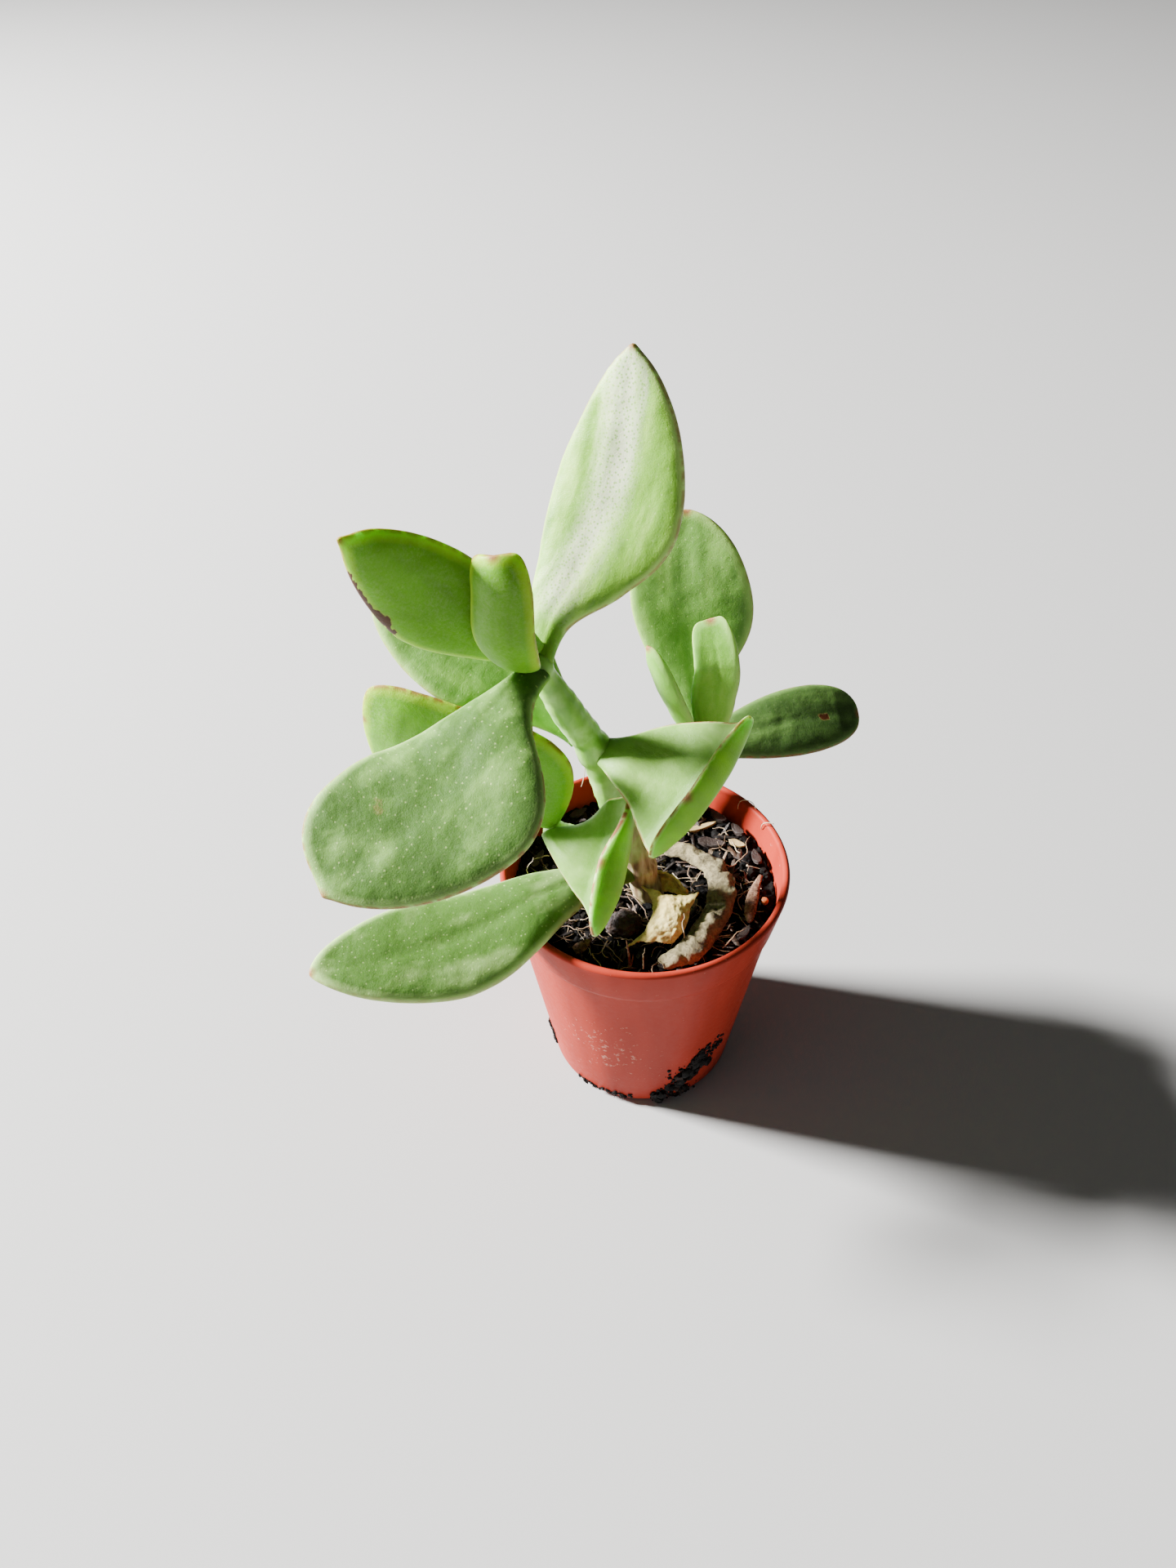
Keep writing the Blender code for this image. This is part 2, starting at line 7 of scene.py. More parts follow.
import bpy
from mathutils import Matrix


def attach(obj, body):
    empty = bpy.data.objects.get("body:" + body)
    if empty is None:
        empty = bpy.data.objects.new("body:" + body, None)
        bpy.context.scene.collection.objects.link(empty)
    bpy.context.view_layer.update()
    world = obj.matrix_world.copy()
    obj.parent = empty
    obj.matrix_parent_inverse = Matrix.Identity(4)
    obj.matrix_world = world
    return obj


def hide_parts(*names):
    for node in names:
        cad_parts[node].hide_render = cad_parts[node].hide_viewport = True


bl_info = {
    "name": "Potted Trumpet Jade",
    "version": (1, 0, 0),
    "blender": (4, 5, 0),
    "location": "3D View > Sidebar > Jade",
    "description": "Grows the leaves and stems of a young trumpet jade, its compost and its pot",
    "category": "Object",
}

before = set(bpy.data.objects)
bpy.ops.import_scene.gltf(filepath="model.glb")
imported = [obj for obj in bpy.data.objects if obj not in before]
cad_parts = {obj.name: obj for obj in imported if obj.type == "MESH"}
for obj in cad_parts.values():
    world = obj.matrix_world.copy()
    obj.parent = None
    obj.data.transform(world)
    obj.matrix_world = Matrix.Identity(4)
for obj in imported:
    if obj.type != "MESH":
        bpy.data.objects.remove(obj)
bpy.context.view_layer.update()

import math
from functools import partial

import bpy
import numpy as np
from bpy.props import FloatProperty, FloatVectorProperty, IntProperty, PointerProperty
from mathutils import Matrix, Vector, noise

MM = 0.001

# The pot has a tapered body, a low collar with a rounded lip, and a ring of drain holes in its floor.
POT_HEIGHT = 52.0
POT_RIM_RADIUS = 27.5
POT_BASE_RADIUS = 18.6
POT_WALL = 0.9
POT_FLOOR = 1.1
POT_CORNER = 2.0
COLLAR_FOOT = 43.2
COLLAR_RADIUS = 25.9
BODY_TOP_RADIUS = 25.3
LIP_RADIUS = 0.72
DRAIN_COUNT = 6
DRAIN_RADIUS = 2.2
DRAIN_CIRCLE = 11.5

# The compost's mean height and how lumpy it is, and the middles of the nodes where the leaves stand.
SOIL_TOP = 46.0
SOIL_LUMP = 0.35

NODE_LOW = (-1, -3, 54)
NODE_SIDE = (-17.5, -8, 70)
NODE_MIDDLE = (-9, -3, 83)
NODE_TOP = (-17.5, -6, 103)
NODE_RIGHT = (12, 14, 73)

# How far each leaf's neck sinks into the stem past the gap that the solids keep.
NECK_SINK = 1.3

# How the points crowd towards a leaf's tip, how square its section is (1 is round), and the groove along
# its midrib: its depth as a share of the thickness and its width as a share of the half width.
TIP_CROWDING = 1.35
SQUARENESS = 0.92
GROOVE_DEPTH = 0.05
GROOVE_WIDTH = 0.12

# The shares of a leaf's length where its nib and its pale margin start, and the nib's half width in mm.
NIB_FROM = 0.93
MARGIN_FROM = 0.12
NIB_WIDTH = 1.1

# How finely the stems, the compost and the cream leaf are divided.
STEM_RINGS = 90
BED_CELLS = 150
CREAM_POINTS = 40

# The compost's sides under its surface: how far down each step goes and how much it narrows.
BED_STEPS = ((3.0, 0.965), (40.8, 0.72))

# How far from the pot's axis loose bits and fibres reach, how thick a hair and the cream leaf are, how far
# the chips lie above the compost, and where the clod and the seed lie and how big they are.
STREW_REACH = 24.2
FIBRE_REACH = 25.0
HAIR_RADIUS = 0.09
CREAM_THICK = 0.38
CHIP_LIFT = 0.6
CLOD_PLACE = (-4.2, -10.6)
CLOD_RADII = (3.4, 3.0, 2.3)
SEED_PLACE = (22.4, -6.4)
SEED_RADIUS = 0.76
SMEAR_SEED = 7

# Foot of the dead bract, and the tip and thickness of its two blades.
BRACT_FOOT = (-3.7, -20.4, 46.0)
BRACT_BLADES = (((-4.2, -18.6, 51.4), 0.32), ((-3.0, -19.4, 48.6), 0.25))

# How far red, green and blue light travel in green tissue, next to one another, and the place in metres
# where the lime on the pot is thickest.
GREEN_SCATTER = (0.9, 1.6, 0.35)
LIME_PATCH = (-0.008, -0.020, 0.020)

# Each stem: points up its middle, its radius at even steps along it, and the nodes where it swells.
STEMS = dict(
    main_stem=dict(
        points=[(2, -2, 40), NODE_LOW, (-6, -3, 72), NODE_MIDDLE, (-14, -4.5, 94), NODE_TOP, (-18, -7, 105)],
        radii=[3.0, 2.9, 2.7, 2.9, 2.9, 2.7, 1.6], nodes=[NODE_LOW, NODE_MIDDLE, NODE_TOP]),
    side_shoot=dict(
        points=[(-2, -3, 58), (-9, -6, 64), NODE_SIDE], radii=[1.8, 1.7, 1.6], nodes=[NODE_SIDE]),
    right_stem=dict(
        points=[(7.6, 17.4, 40), (9.6, 19, 56), NODE_RIGHT], radii=[2.4, 2.2, 2.0], nodes=[(11.5, 16, 66)]),
)

# Each leaf: the line of its midrib from the node to the tip, the way its upper face looks at the base and
# at the tip, its half widths left and right of the midrib as seen from above towards the tip, and the half
# width of its neck. Then for each side: how far along it is widest, how late its shoulder opens, how blunt
# its end is (one number serves both) and by how many degrees it curls up. Thick is its thickness and start
# the gap from the node's middle. Some ends curl (degrees, mm) and some have a nib, a small point in mm.
# A scar is how far right of the midrib as a share of the half width, mm along, radius and strength, where
# a strength under 1 is a faint soft blotch and 1 is cork.
LEAVES = dict(
    leaf_top=dict(
        midrib=[NODE_TOP, (-15.5, -1.8, 107.8), (-9.9, 2.7, 115.7), (-4.1, 8.2, 127.2), (-2.1, 14.1, 145.4)],
        faces=[(-0.36, -0.82, 0.44), (-0.4, -0.78, 0.48)], left=10.1, right=11.8, neck=2.0,
        widest=(0.59, 0.52), shoulder=(1.1, 2.6), blunt=(1.6, 1.4), thick=5, cup=(12, 14), start=2.1,
        # Its finish carries lighter, sunlit colours and a painted sheen along the midrib.
        nib=0.5, finish="glazed"),
    leaf_front_left=dict(
        midrib=[NODE_TOP, (-24.1, -15.2, 100.9), (-32.8, -27.6, 94.9), (-48.7, -39.6, 88.0)],
        faces=[(-0.35, -0.45, 0.82), (0, -0.6, 0.8)], left=16.1, right=13.4, neck=2.9,
        widest=(0.52, 0.69), shoulder=(2.4, 2.2), blunt=(1.35, 2.9), thick=5.2, cup=(10, 10), start=2.3,
        nib=0.5, finish="powdery", scars=[(0.36, 34, 0.8, 0.5), (0.44, 33.2, 0.7, 0.45)]),
    leaf_low_left=dict(
        midrib=[NODE_LOW, (-17.6, -11.8, 56.1), (-32.8, -20.6, 55), (-57.9, -29.8, 58.3)],
        faces=[(0, -0.3, 0.95), (0, -0.3, 0.95)], left=10.5, right=9.4, neck=2.3,
        widest=(0.6, 0.71), shoulder=(2.1, 1.5), blunt=(1.4, 1.7), thick=5.4, cup=(15, 15), start=3.6,
        finish="yellowish"),
    leaf_upper_left=dict(
        midrib=[(-18.5, -5.5, 105.5), (-28.2, -9.4, 115.6), (-35, -11.7, 122.3), (-42.8, -15.3, 131.7)],
        faces=[(-0.3, 0.9, 0.1), (-0.35, 0.9, 0)], left=8.0, right=8.9, neck=2.5,
        widest=(0.55, 0.54), shoulder=(1.2, 1.2), blunt=(1.8, 1.25), thick=3, cup=(25, 25), start=0.8,
        finish="young", nib=0.8,
        scars=[(0.96, 33, 0.6, 1), (0.95, 31.6, 0.7, 1), (0.94, 30.2, 0.75, 1), (0.94, 28.8, 0.8, 1),
               (0.93, 27.4, 0.8, 1), (0.91, 25.4, 1.2, 1), (0.87, 24.2, 1.2, 1), (0.93, 22.0, 0.8, 1)]),
    leaf_back_left=dict(
        midrib=[NODE_MIDDLE, (-19.3, 5.1, 91.2), (-30.2, 11.5, 97.6), (-46, 17, 104.7)],
        faces=[(0.2, -0.6, 0.75), (0.2, -0.6, 0.75)], left=12.9, right=12, neck=2.6,
        widest=(0.56, 0.62), shoulder=(1.6, 2.4), blunt=(1.9, 1.7), thick=4.6, cup=(15, 15), start=4.2,
        finish="sunny"),
    leaf_young_top=dict(
        midrib=[(-18.8, -8.8, 105), (-21.9, -14.2, 113.8), (-22, -14.2, 121.9), (-22.6, -13.1, 127.6)],
        faces=[(0.3, 0.95, 0.2), (0.3, 0.95, 0)], left=4.7, right=5.5, neck=2.2,
        widest=(0.5, 0.46), shoulder=(0.8, 0.8), blunt=(5.6, 6.2), thick=2.6, cup=(45, 45), start=1.6,
        finish="young"),
    leaf_side_back=dict(
        midrib=[NODE_SIDE, (-18.5, -8, 81.5), (-31.7, -9.1, 88.8), (-46.7, -5.5, 93.4)],
        faces=[(0.1, 0.9, 0.2), (-0.3, 0.9, 0.2)], left=9, right=15.4, neck=2.8,
        widest=(0.55, 0.72), shoulder=(1.3, 0.9), blunt=(5.3, 6.1), thick=3, cup=(20, 20), start=1.6,
        finish="young"),
    leaf_right_trumpet=dict(
        midrib=[NODE_MIDDLE, (-4, -7.8, 84.5), (1.4, -11.1, 84.1), (5.1, -14.5, 83.6)],
        faces=[(-0.1, -0.5, 0.85), (-0.37, -0.53, 0.75)], left=16, right=11.5, neck=3.0,
        widest=(0.87, 0.78), shoulder=(1.7, 1.5), blunt=(4.3, 4.1), thick=3, cup=(10, 10), start=2.8,
        curl=(122, 11.5), finish="trumpet"),
    leaf_side_trumpet=dict(
        midrib=[NODE_SIDE, (-14.8, -13.4, 69.7), (-9.7, -16.8, 69.4)],
        faces=[(-0.1, -0.4, 0.9), (-0.2, -0.6, 0.77)], left=12.2, right=11.8, neck=1.9,
        widest=(0.64, 0.78), shoulder=(0.8, 2.9), blunt=(1.5, 2.4), thick=3.4, cup=(10, 10), start=2.75,
        curl=(150, 12.8), finish="trumpet"),
    leaf_back_right=dict(
        midrib=[NODE_RIGHT, (9.4, 17.6, 85.2), (8.2, 18.8, 97.3), (7.5, 21.9, 114.4)],
        faces=[(-0.25, -0.9, 0.36), (-0.25, -0.9, 0.36)], left=10.2, right=11.6, neck=2.5,
        widest=(0.62, 0.59), shoulder=(1.4, 1.8), blunt=(2.1, 1.9), thick=3.5, cup=(15, 15), start=1.7,
        finish="sunny"),
    leaf_young_right=dict(
        midrib=[(12.4, 12.0, 72.6), (12.8, 9.7, 84.5), (12.9, 7.6, 92), (11.2, 10.4, 100.2)],
        faces=[(-0.3, -0.9, 0.3), (-0.35, -0.85, 0.35)], left=4.4, right=3.8, neck=1.8,
        widest=(0.42, 0.42), shoulder=(0.8, 0.8), blunt=5.0, thick=2.4, cup=(30, 30), start=1.0,
        finish="sprout"),
    leaf_young_left=dict(
        midrib=[(9.7, 13.2, 72.2), (6, 10, 80.5), (3, 9, 87.5), (0.5, 10, 95)],
        faces=[(0.9, 0.4, 0.1), (0.9, 0.4, 0.1)], left=4.5, right=4.5, neck=2.0,
        widest=(0.5, 0.5), shoulder=(1.0, 1.0), blunt=2.2, thick=2, cup=(50, 50), start=1.0,
        finish="sprout"),
    leaf_far_right=dict(
        midrib=[(11.5, 16, 66), (21.5, 20.1, 66.2), (30.2, 22.9, 66.4), (43.8, 26.3, 65.3)],
        faces=[(0, -0.5, 0.85), (0, -0.5, 0.85)], left=7.2, right=6.9, neck=2.3,
        widest=(0.65, 0.59), shoulder=(0.9, 1.2), blunt=(2.6, 2.2), thick=4.2, cup=(10, 10), start=2.2,
        finish="shaded", scars=[(0.02, 24.7, 0.7, 1), (0.08, 25.5, 0.65, 1)]),
)

# Each finish: the valleys, the middle and the heights of the upper face's mottling, the colour of the
# margin, pale and with a painted glow, and of the underside, whose lime is partly painted glow, then the
# streaks per millimetre across and along, and how strong they are.
# Glow and red_width are how far in mm the pale margin with its painted glow and its red-brown line reach,
# red the line's strength. Bloom and dots are how much powder and pale pores the skin carries, sheen_band
# how strong the painted sheen along the midrib is, and rough is its roughness.
LEAF_FINISHES = dict(
    powdery=dict(
        deep="#2C4616", middle="#4A7028", pale="#A8D870", rim="#AED27C", back="#7CB028", veins=(0.16, 0.13),
        streaks=0.4, glow=1.8, red=0.8, red_width=0.7, bloom=0.05, dots=1.0, rough=0.52),
    # Painted light and painted sheen: lighter colours for the leaf in the sun, and a pale band along its
    # midrib.
    glazed=dict(
        deep="#3C6418", middle="#7CB036", pale="#CAF47E", rim="#C8E48C", back="#7CB42C", veins=(0.3, 0.06),
        streaks=0.6, glow=1.4, red=0.6, red_width=0.7, bloom=0.05, dots=0.7, rough=0.42, sheen_band=0.55),
    # Painted light: lighter leaf colours for the leaves that stand in the sun.
    sunny=dict(
        deep="#486E26", middle="#6A983E", pale="#A4D064", rim="#A6CA6C", back="#7CB42C", veins=(0.28, 0.08),
        streaks=0.45, glow=1.8, red=0.35, red_width=0.6, bloom=0.08, dots=0.8, rough=0.46),
    yellowish=dict(
        deep="#3E5E20", middle="#4E742A", pale="#D2F09A", rim="#BCDC88", back="#7CA830", veins=(0.13, 0.08),
        streaks=0.34, glow=1.6, red=0.3, red_width=0.6, bloom=0.05, dots=0.9, rough=0.52),
    trumpet=dict(
        deep="#446A2A", middle="#729E3E", pale="#A8CE70", rim="#C4DC90", back="#86C81E", veins=(0.2, 0.1),
        streaks=0.35, glow=0.8, red=0.95, red_width=0.6, bloom=0.06, dots=0.12, rough=0.48),
    young=dict(
        deep="#3A6210", middle="#5F9618", pale="#7EB430", rim="#C4E81C", back="#66A608", veins=(0.26, 0.07),
        streaks=0.6, glow=2.2, red=0.85, red_width=1.0, bloom=0.2, dots=0.05, rough=0.44),
    sprout=dict(
        deep="#4A7A1E", middle="#6EA832", pale="#A4D65C", rim="#A6D46C", back="#78B23C", veins=(0.26, 0.07),
        streaks=0.4, glow=1.6, red=0.12, red_width=0.5, bloom=0.1, dots=0.05, rough=0.46),
    # Painted shade: darker leaf colours for the leaf that lies in the shade of its neighbour.
    shaded=dict(
        deep="#263C18", middle="#3C5824", pale="#5C7E3A", rim="#688846", back="#3C5628", veins=(0.28, 0.09),
        streaks=0.7, glow=1.8, red=0.7, red_width=0.7, bloom=0.03, dots=0.15, rough=0.5),
)

# Loose matter: colours from its darkest bit to its palest, roughness, size of its grain and depth of its
# relief in mm, and its gloss if it isn't the usual 0.5. Each comment says what the real thing shows.
LOOSE_MATTER = dict(
    # Damp sphagnum peat: nearly black, with only a dull sheen from the water in it.
    moist_peat=dict(
        stops=[(0.0, "#030202"), (0.4, "#0A0705"), (0.7, "#18100B"), (1.0, "#3A281C")],
        rough=0.85, grain=1.1, relief=0.5, gloss=0.15),
    # Composted pine bark: dark brown with broken edges that catch the light in tan.
    composted_bark=dict(
        stops=[(0.0, "#0E0907"), (0.45, "#281A13"), (0.75, "#5C4636"), (1.0, "#A89072")],
        rough=0.6, grain=0.7, relief=0.3),
    # Dry rootlets: fine, pale straw to brown, slightly silky.
    root_fibre=dict(
        stops=[(0.0, "#5A4030"), (0.5, "#9C7F60"), (1.0, "#D9C6A6")], rough=0.65, grain=0.5, relief=0.1),
    # Larger chips of pine bark: dull brown and finely cracked.
    bark_chip=dict(
        stops=[(0.0, "#0E0907"), (0.5, "#2A1C15"), (1.0, "#64503E")], rough=0.65, grain=0.6, relief=0.25),
    # Straw: golden, fairly smooth, streaked where it is split.
    straw=dict(
        stops=[(0.0, "#6E5434"), (0.5, "#B99F6C"), (1.0, "#DCCB9E")], rough=0.6, grain=0.6, relief=0.12),
    # Clod of peat that has dried out a little: brown and crumbly.
    clod=dict(
        stops=[(0.0, "#120C0A"), (0.5, "#34231C"), (1.0, "#6A4C3C")], rough=0.7, grain=0.9, relief=0.4),
    # Seed coat: hard, orange-brown and smooth enough to shine.
    seed_coat=dict(
        stops=[(0.0, "#8A3E1E"), (0.5, "#C46F3E"), (1.0, "#E29A68")], rough=0.35, grain=0.8, relief=0.03),
    # Wet peat stuck to the pot: black with a few pale fibres and hardly any sheen.
    wet_peat=dict(
        stops=[(0.0, "#040302"), (0.55, "#100A08"), (0.88, "#2C1E17"), (1.0, "#86694E")],
        rough=0.55, grain=0.8, relief=0.3, gloss=0.1),
)

# Dead leaves: colours from their pits to their ridges, the pits darker partly in their own colour and
# partly in painted shade, and how much light passes through them.
DEAD_MATTER = dict(
    # Bleached leaf: creamy yellow and papery.
    dead_leaf_cream=([(0.34, "#9C7C38"), (0.42, "#D8BE6C"), (0.52, "#F0D884"), (0.66, "#FFEBA4")], 0.1),
    # Weathered leaf: grey-olive and shrivelled.
    dead_leaf_grey=([(0.36, "#3C3424"), (0.44, "#645A3E"), (0.53, "#827654"), (0.68, "#A69A70")], 0.1),
    # Bud scale: thin and brown, lit through at its edges.
    dead_scale_brown=([(0.38, "#3A2418"), (0.5, "#7C5A42"), (0.64, "#BFA488")], 0.25),
)

# Dead leaves and scales that lie on the compost, in the same terms as the leaves.
DRY_PIECES = dict(
    dry_leaf_grey=dict(
        midrib=[(4.6, 7.9, 47.6), (10.1, 5.5, 48.2), (13.8, 1.1, 48.6), (14.0, -7, 48.8), (10.4, -13.8, 48.6),
                (7.2, -18.4, 48.4), (1.4, -20.4, 47.8)],
        faces=[(0, 0, 1), (0, 0, 1)], left=2.9, right=2.9, neck=1.6,
        widest=(0.6, 0.75), shoulder=(0.6, 0.6), blunt=3.0, thick=1.5, cup=(-75, -60), crumple=0.75),
    bud_scale=dict(
        midrib=[(22.6, 0.3, 47.2), (21.2, -3, 48), (19.8, -7.2, 48.1), (18.9, -11.6, 47.2)],
        faces=[(0, 0, 1), (0, 0, 1)], left=1.2, right=1.2, neck=0.4,
        widest=(0.68, 0.68), shoulder=(1.6, 1.6), blunt=2.0, thick=0.7, cup=(-35, -35), crumple=0.08),
    brown_leaf_tip=dict(
        midrib=[(-13.6, -17.0, 46.9), (-12, -16.2, 47.5), (-10.3, -15, 48.0)],
        faces=[(0, -0.4, 1), (0, -0.4, 1)], left=1.1, right=1.1, neck=0.9,
        widest=(0.3, 0.3), shoulder=(1.0, 1.0), blunt=1.3, thick=0.6, cup=(-25, -25), crumple=0.08),
)

# Rows of points across the crumpled cream leaf, from its torn upper edge to its tail, and across
# the rolled flap behind that edge.
CREAM_FACE = [
    [(-1.7, -5.2, 52.2), (2.0, -6.4, 50.6), (5.8, -7.6, 50.5), (9.8, -8.0, 52.2)],
    [(0.9, -8.4, 50.8), (3.0, -9.2, 51.5), (5.6, -9.8, 51.7), (8.0, -10.4, 50.6)],
    [(0.7, -12.6, 50.5), (2.6, -13.2, 51.2), (4.8, -13.6, 51.2), (6.8, -14.2, 49.8)],
    [(-4.2, -16.9, 47.2), (-1.0, -16.8, 49.0), (1.9, -17.3, 49.2), (4.2, -17.0, 48.6)],
]
CREAM_FLAP = [
    [(-0.6, -4.4, 51.8), (1.6, -2.3, 51.9), (4.6, -3.2, 51.6), (7.4, -6.2, 50.6)],
    [(-0.3, -4.0, 50.2), (1.9, -1.6, 49.8), (5.2, -2.6, 49.6), (7.9, -6.0, 49.4)],
    [(0.4, -5.2, 49.0), (2.4, -3.4, 48.2), (5.2, -4.4, 48.0), (7.4, -7.0, 48.4)],
]

# Flat bits of bark and straw: middle, heading, length, width and thickness.
CHIPS = dict(
    straw_stick=((12.2, 14.2), 20, 6.5, 1.3, 0.8),
    straw_chip=((19.0, 9.6), -30, 3.2, 1.7, 0.7),
    bark_chip_1=((14.0, 9.8), -15, 5.4, 2.4, 1.1),
    bark_chip_2=((19.4, 12.9), 122, 3.4, 1.8, 1.0),
    bark_chip_3=((16.0, 16.6), 135, 3.8, 2.0, 1.2),
    bark_chip_4=((22.3, 5.4), 104, 3.4, 1.8, 0.9),
    bark_chip_5=((17.6, -14.2), 51, 3.6, 1.6, 0.8),
    bark_chip_6=((-20.6, 6.2), 60, 4.4, 1.6, 0.8),
    bark_chip_7=((-12.4, 19.2), 33, 3.8, 1.6, 0.9),
)

# Wet peat on the pot's outside: routes of points as (degrees round the pot, height), half width and
# number of crumbs.
PEAT_SMEARS = dict(
    peat_smear_right=([
        [(-46, 16.5), (-52, 15.0), (-57, 12.2)], [(-57, 16.6), (-60, 13.0), (-63, 9.5)],
        [(-54, 13.6), (-63, 9.5), (-72, 5.0), (-79, 3.4)], [(-70, 11.2), (-67, 8.4), (-66, 6.8)],
        [(-84, 2.6), (-76, 1.8), (-66, 1.6)]], 2.5, 470),
    peat_smear_left=([[(197, 11), (199, 7.5), (197, 4.2)]], 1.0, 80),
    peat_smear_front=([[(-134, 2.0), (-120, 1.9), (-106, 2.2), (-98, 2.1)]], 0.6, 70),
)

# Loose root hairs that bend over the pot's rim.
HAIRS = [
    [(19.6, 15.6, 50.5), (20.6, 15.3, 53.2), (22.0, 15.0, 53.0), (22.8, 13.7, 52.2)],
    [(23.7, 10.2, 50.0), (24.5, 9.0, 52.9), (25.7, 8.5, 53.0)],
    [(-11.7, 22.5, 51.4), (-10.9, 23.5, 54.8), (-11.0, 24.5, 57.8)],
]

# The photograph's camera, as fitted to the pot's rim and foot: its place, how far it looks down and rolls,
# the picture's height and the focal length in pixels, and the size of sensor that stands for that height.
CAMERA_PLACE = (-10.3, -155.5, 213.5)
CAMERA_PITCH = 42.2
CAMERA_ROLL = -1.5
PHOTO_HEIGHT = 1920
PHOTO_FOCAL = 1442
SENSOR = 36.0

# Softboxes: the way from the plant to each of them, how far off it is and how wide it is, in metres. They
# face a point LIGHT_AIM above the floor.
SOFTBOXES = dict(key=((-0.865, 0.216, 0.454), 1.6, 0.26), fill=((-0.9, -0.45, 0.35), 0.9, 0.8))
LIGHT_AIM = 0.07


def unit(vectors):
    """Vectors scaled to a length of one."""
    vectors = np.asarray(vectors, float)
    return vectors / np.linalg.norm(vectors, axis=-1, keepdims=True)


def curve_through(points, t):
    """Points at t (0 to 1) on one smooth curve through the given points."""
    p = np.asarray(points, float)
    gaps = np.linalg.norm(np.diff(p, axis=0), axis=1)
    knots = np.concatenate([[0], np.cumsum(gaps)]) / gaps.sum()
    steps = np.diff(p, axis=0) / np.diff(knots)[:, None]
    before = np.diff(knots)[:-1, None]
    after = np.diff(knots)[1:, None]
    slopes = np.zeros_like(p)
    slopes[1:-1] = (steps[:-1] * after + steps[1:] * before) / (before + after)
    slopes[0] = 2 * steps[0] - slopes[1]
    slopes[-1] = 2 * steps[-1] - slopes[-2]
    k = np.clip(np.searchsorted(knots, t, side="right") - 1, 0, len(p) - 2)
    span = (knots[k + 1] - knots[k])[:, None]
    x = (np.asarray(t) - knots[k])[:, None] / span
    start = (2 * x**3 - 3 * x**2 + 1) * p[k] + (x**3 - 2 * x**2 + x) * span * slopes[k]
    end = (3 * x**2 - 2 * x**3) * p[k + 1] + (x**3 - x**2) * span * slopes[k + 1]
    return start + end


def tangent_along(points, t):
    """Direction at t of the smooth curve through the given points."""
    step = 0.001
    ahead = curve_through(points, np.clip(t + step, 0, 1))
    behind = curve_through(points, np.clip(t - step, 0, 1))
    return unit(ahead - behind)


def clouds(points, size, seed=0, octaves=3):
    """Fractal noise, about -1 to 1, with lumps of the given size."""
    shift = Vector((17.3 * seed, 5.1 * seed, 9.7 * seed))
    return np.array([noise.fractal(Vector(point) / size + shift, 1.0, 2.0, octaves) for point in points])


def half_width(leaf, s, side):
    """Share of the half width at s along the leaf: narrow neck, broad blade, rounded end."""
    neck = leaf["neck"] / max(leaf["left"], leaf["right"])
    widest = leaf["widest"][side]
    opening = np.sin(0.5 * np.pi * np.clip(s / widest, 0, 1)) ** leaf["shoulder"][side]
    blunt = np.broadcast_to(leaf["blunt"], 2)[side]
    closing = np.clip((s - widest) / (1 - widest), 0, 1) ** blunt
    return np.where(s < widest, neck + (1 - neck) * opening, (1 - closing) ** (1 / blunt))


def leaf_midline(leaf, s, sink):
    """Place, heading and upper face direction at s along the leaf, and its length."""
    rib = [np.array(point, float) for point in leaf["midrib"]]
    rib[0] = rib[0] + unit(rib[1] - rib[0]) * (leaf.get("start", 0) - sink)
    t = np.linspace(0, 1, 161)
    steps = np.linalg.norm(np.diff(curve_through(rib, t), axis=0), axis=1)
    run = np.concatenate([[0], np.cumsum(steps)])
    curl, reach = leaf.get("curl", (0, 0))
    distance = s * (run[-1] + reach)
    on_rib = np.minimum(distance, run[-1])
    place = curve_through(rib, np.interp(on_rib, run, t))
    heading = tangent_along(rib, np.interp(on_rib, run, t))
    mix = (on_rib / run[-1])[:, None]
    face = unit(leaf["faces"][0]) * (1 - mix) + unit(leaf["faces"][1]) * mix
    face = unit(face - (face * heading).sum(1)[:, None] * heading)
    if reach:
        angle = math.radians(curl) * (np.maximum(distance - run[-1], 0) / reach)[:, None]
        radius = reach / math.radians(curl)
        place = place + radius * (np.sin(angle) * heading + (1 - np.cos(angle)) * face)
        heading, face = (np.cos(angle) * heading + np.sin(angle) * face,
                         np.cos(angle) * face - np.sin(angle) * heading)
    return place, heading, face, run[-1] + reach


def soil_height(x, y):
    """Height of the lumpy compost surface."""
    lump = np.sin(0.42 * x + 1.1) * np.cos(0.37 * y - 0.4) + 0.6 * np.sin(0.9 * y + 0.5 * x)
    return SOIL_TOP + SOIL_LUMP * lump


def wall_radius(z):
    """Outer radius of the pot's body at height z."""
    return POT_BASE_RADIUS + (BODY_TOP_RADIUS - POT_BASE_RADIUS) * z / COLLAR_FOOT


def linear(hex_colour):
    """sRGB hex colour as the linear RGBA that shaders take."""
    shares = [int(hex_colour[i:i + 2], 16) / 255 for i in (1, 3, 5)]
    return tuple(c / 12.92 if c <= 0.04045 else ((c + 0.055) / 1.055) ** 2.4 for c in shares) + (1.0,)


def plug(tree, node, inputs):
    """Sets a node's inputs, each with a value, or the socket or the node that feeds it."""
    for key, value in inputs.items() if isinstance(inputs, dict) else enumerate(inputs):
        if isinstance(value, bpy.types.Node):
            value = value.outputs[2 if value.bl_idname == "ShaderNodeMix" else 0]
        if isinstance(value, bpy.types.NodeSocket):
            tree.links.new(value, node.inputs[key])
        else:
            node.inputs[key].default_value = value


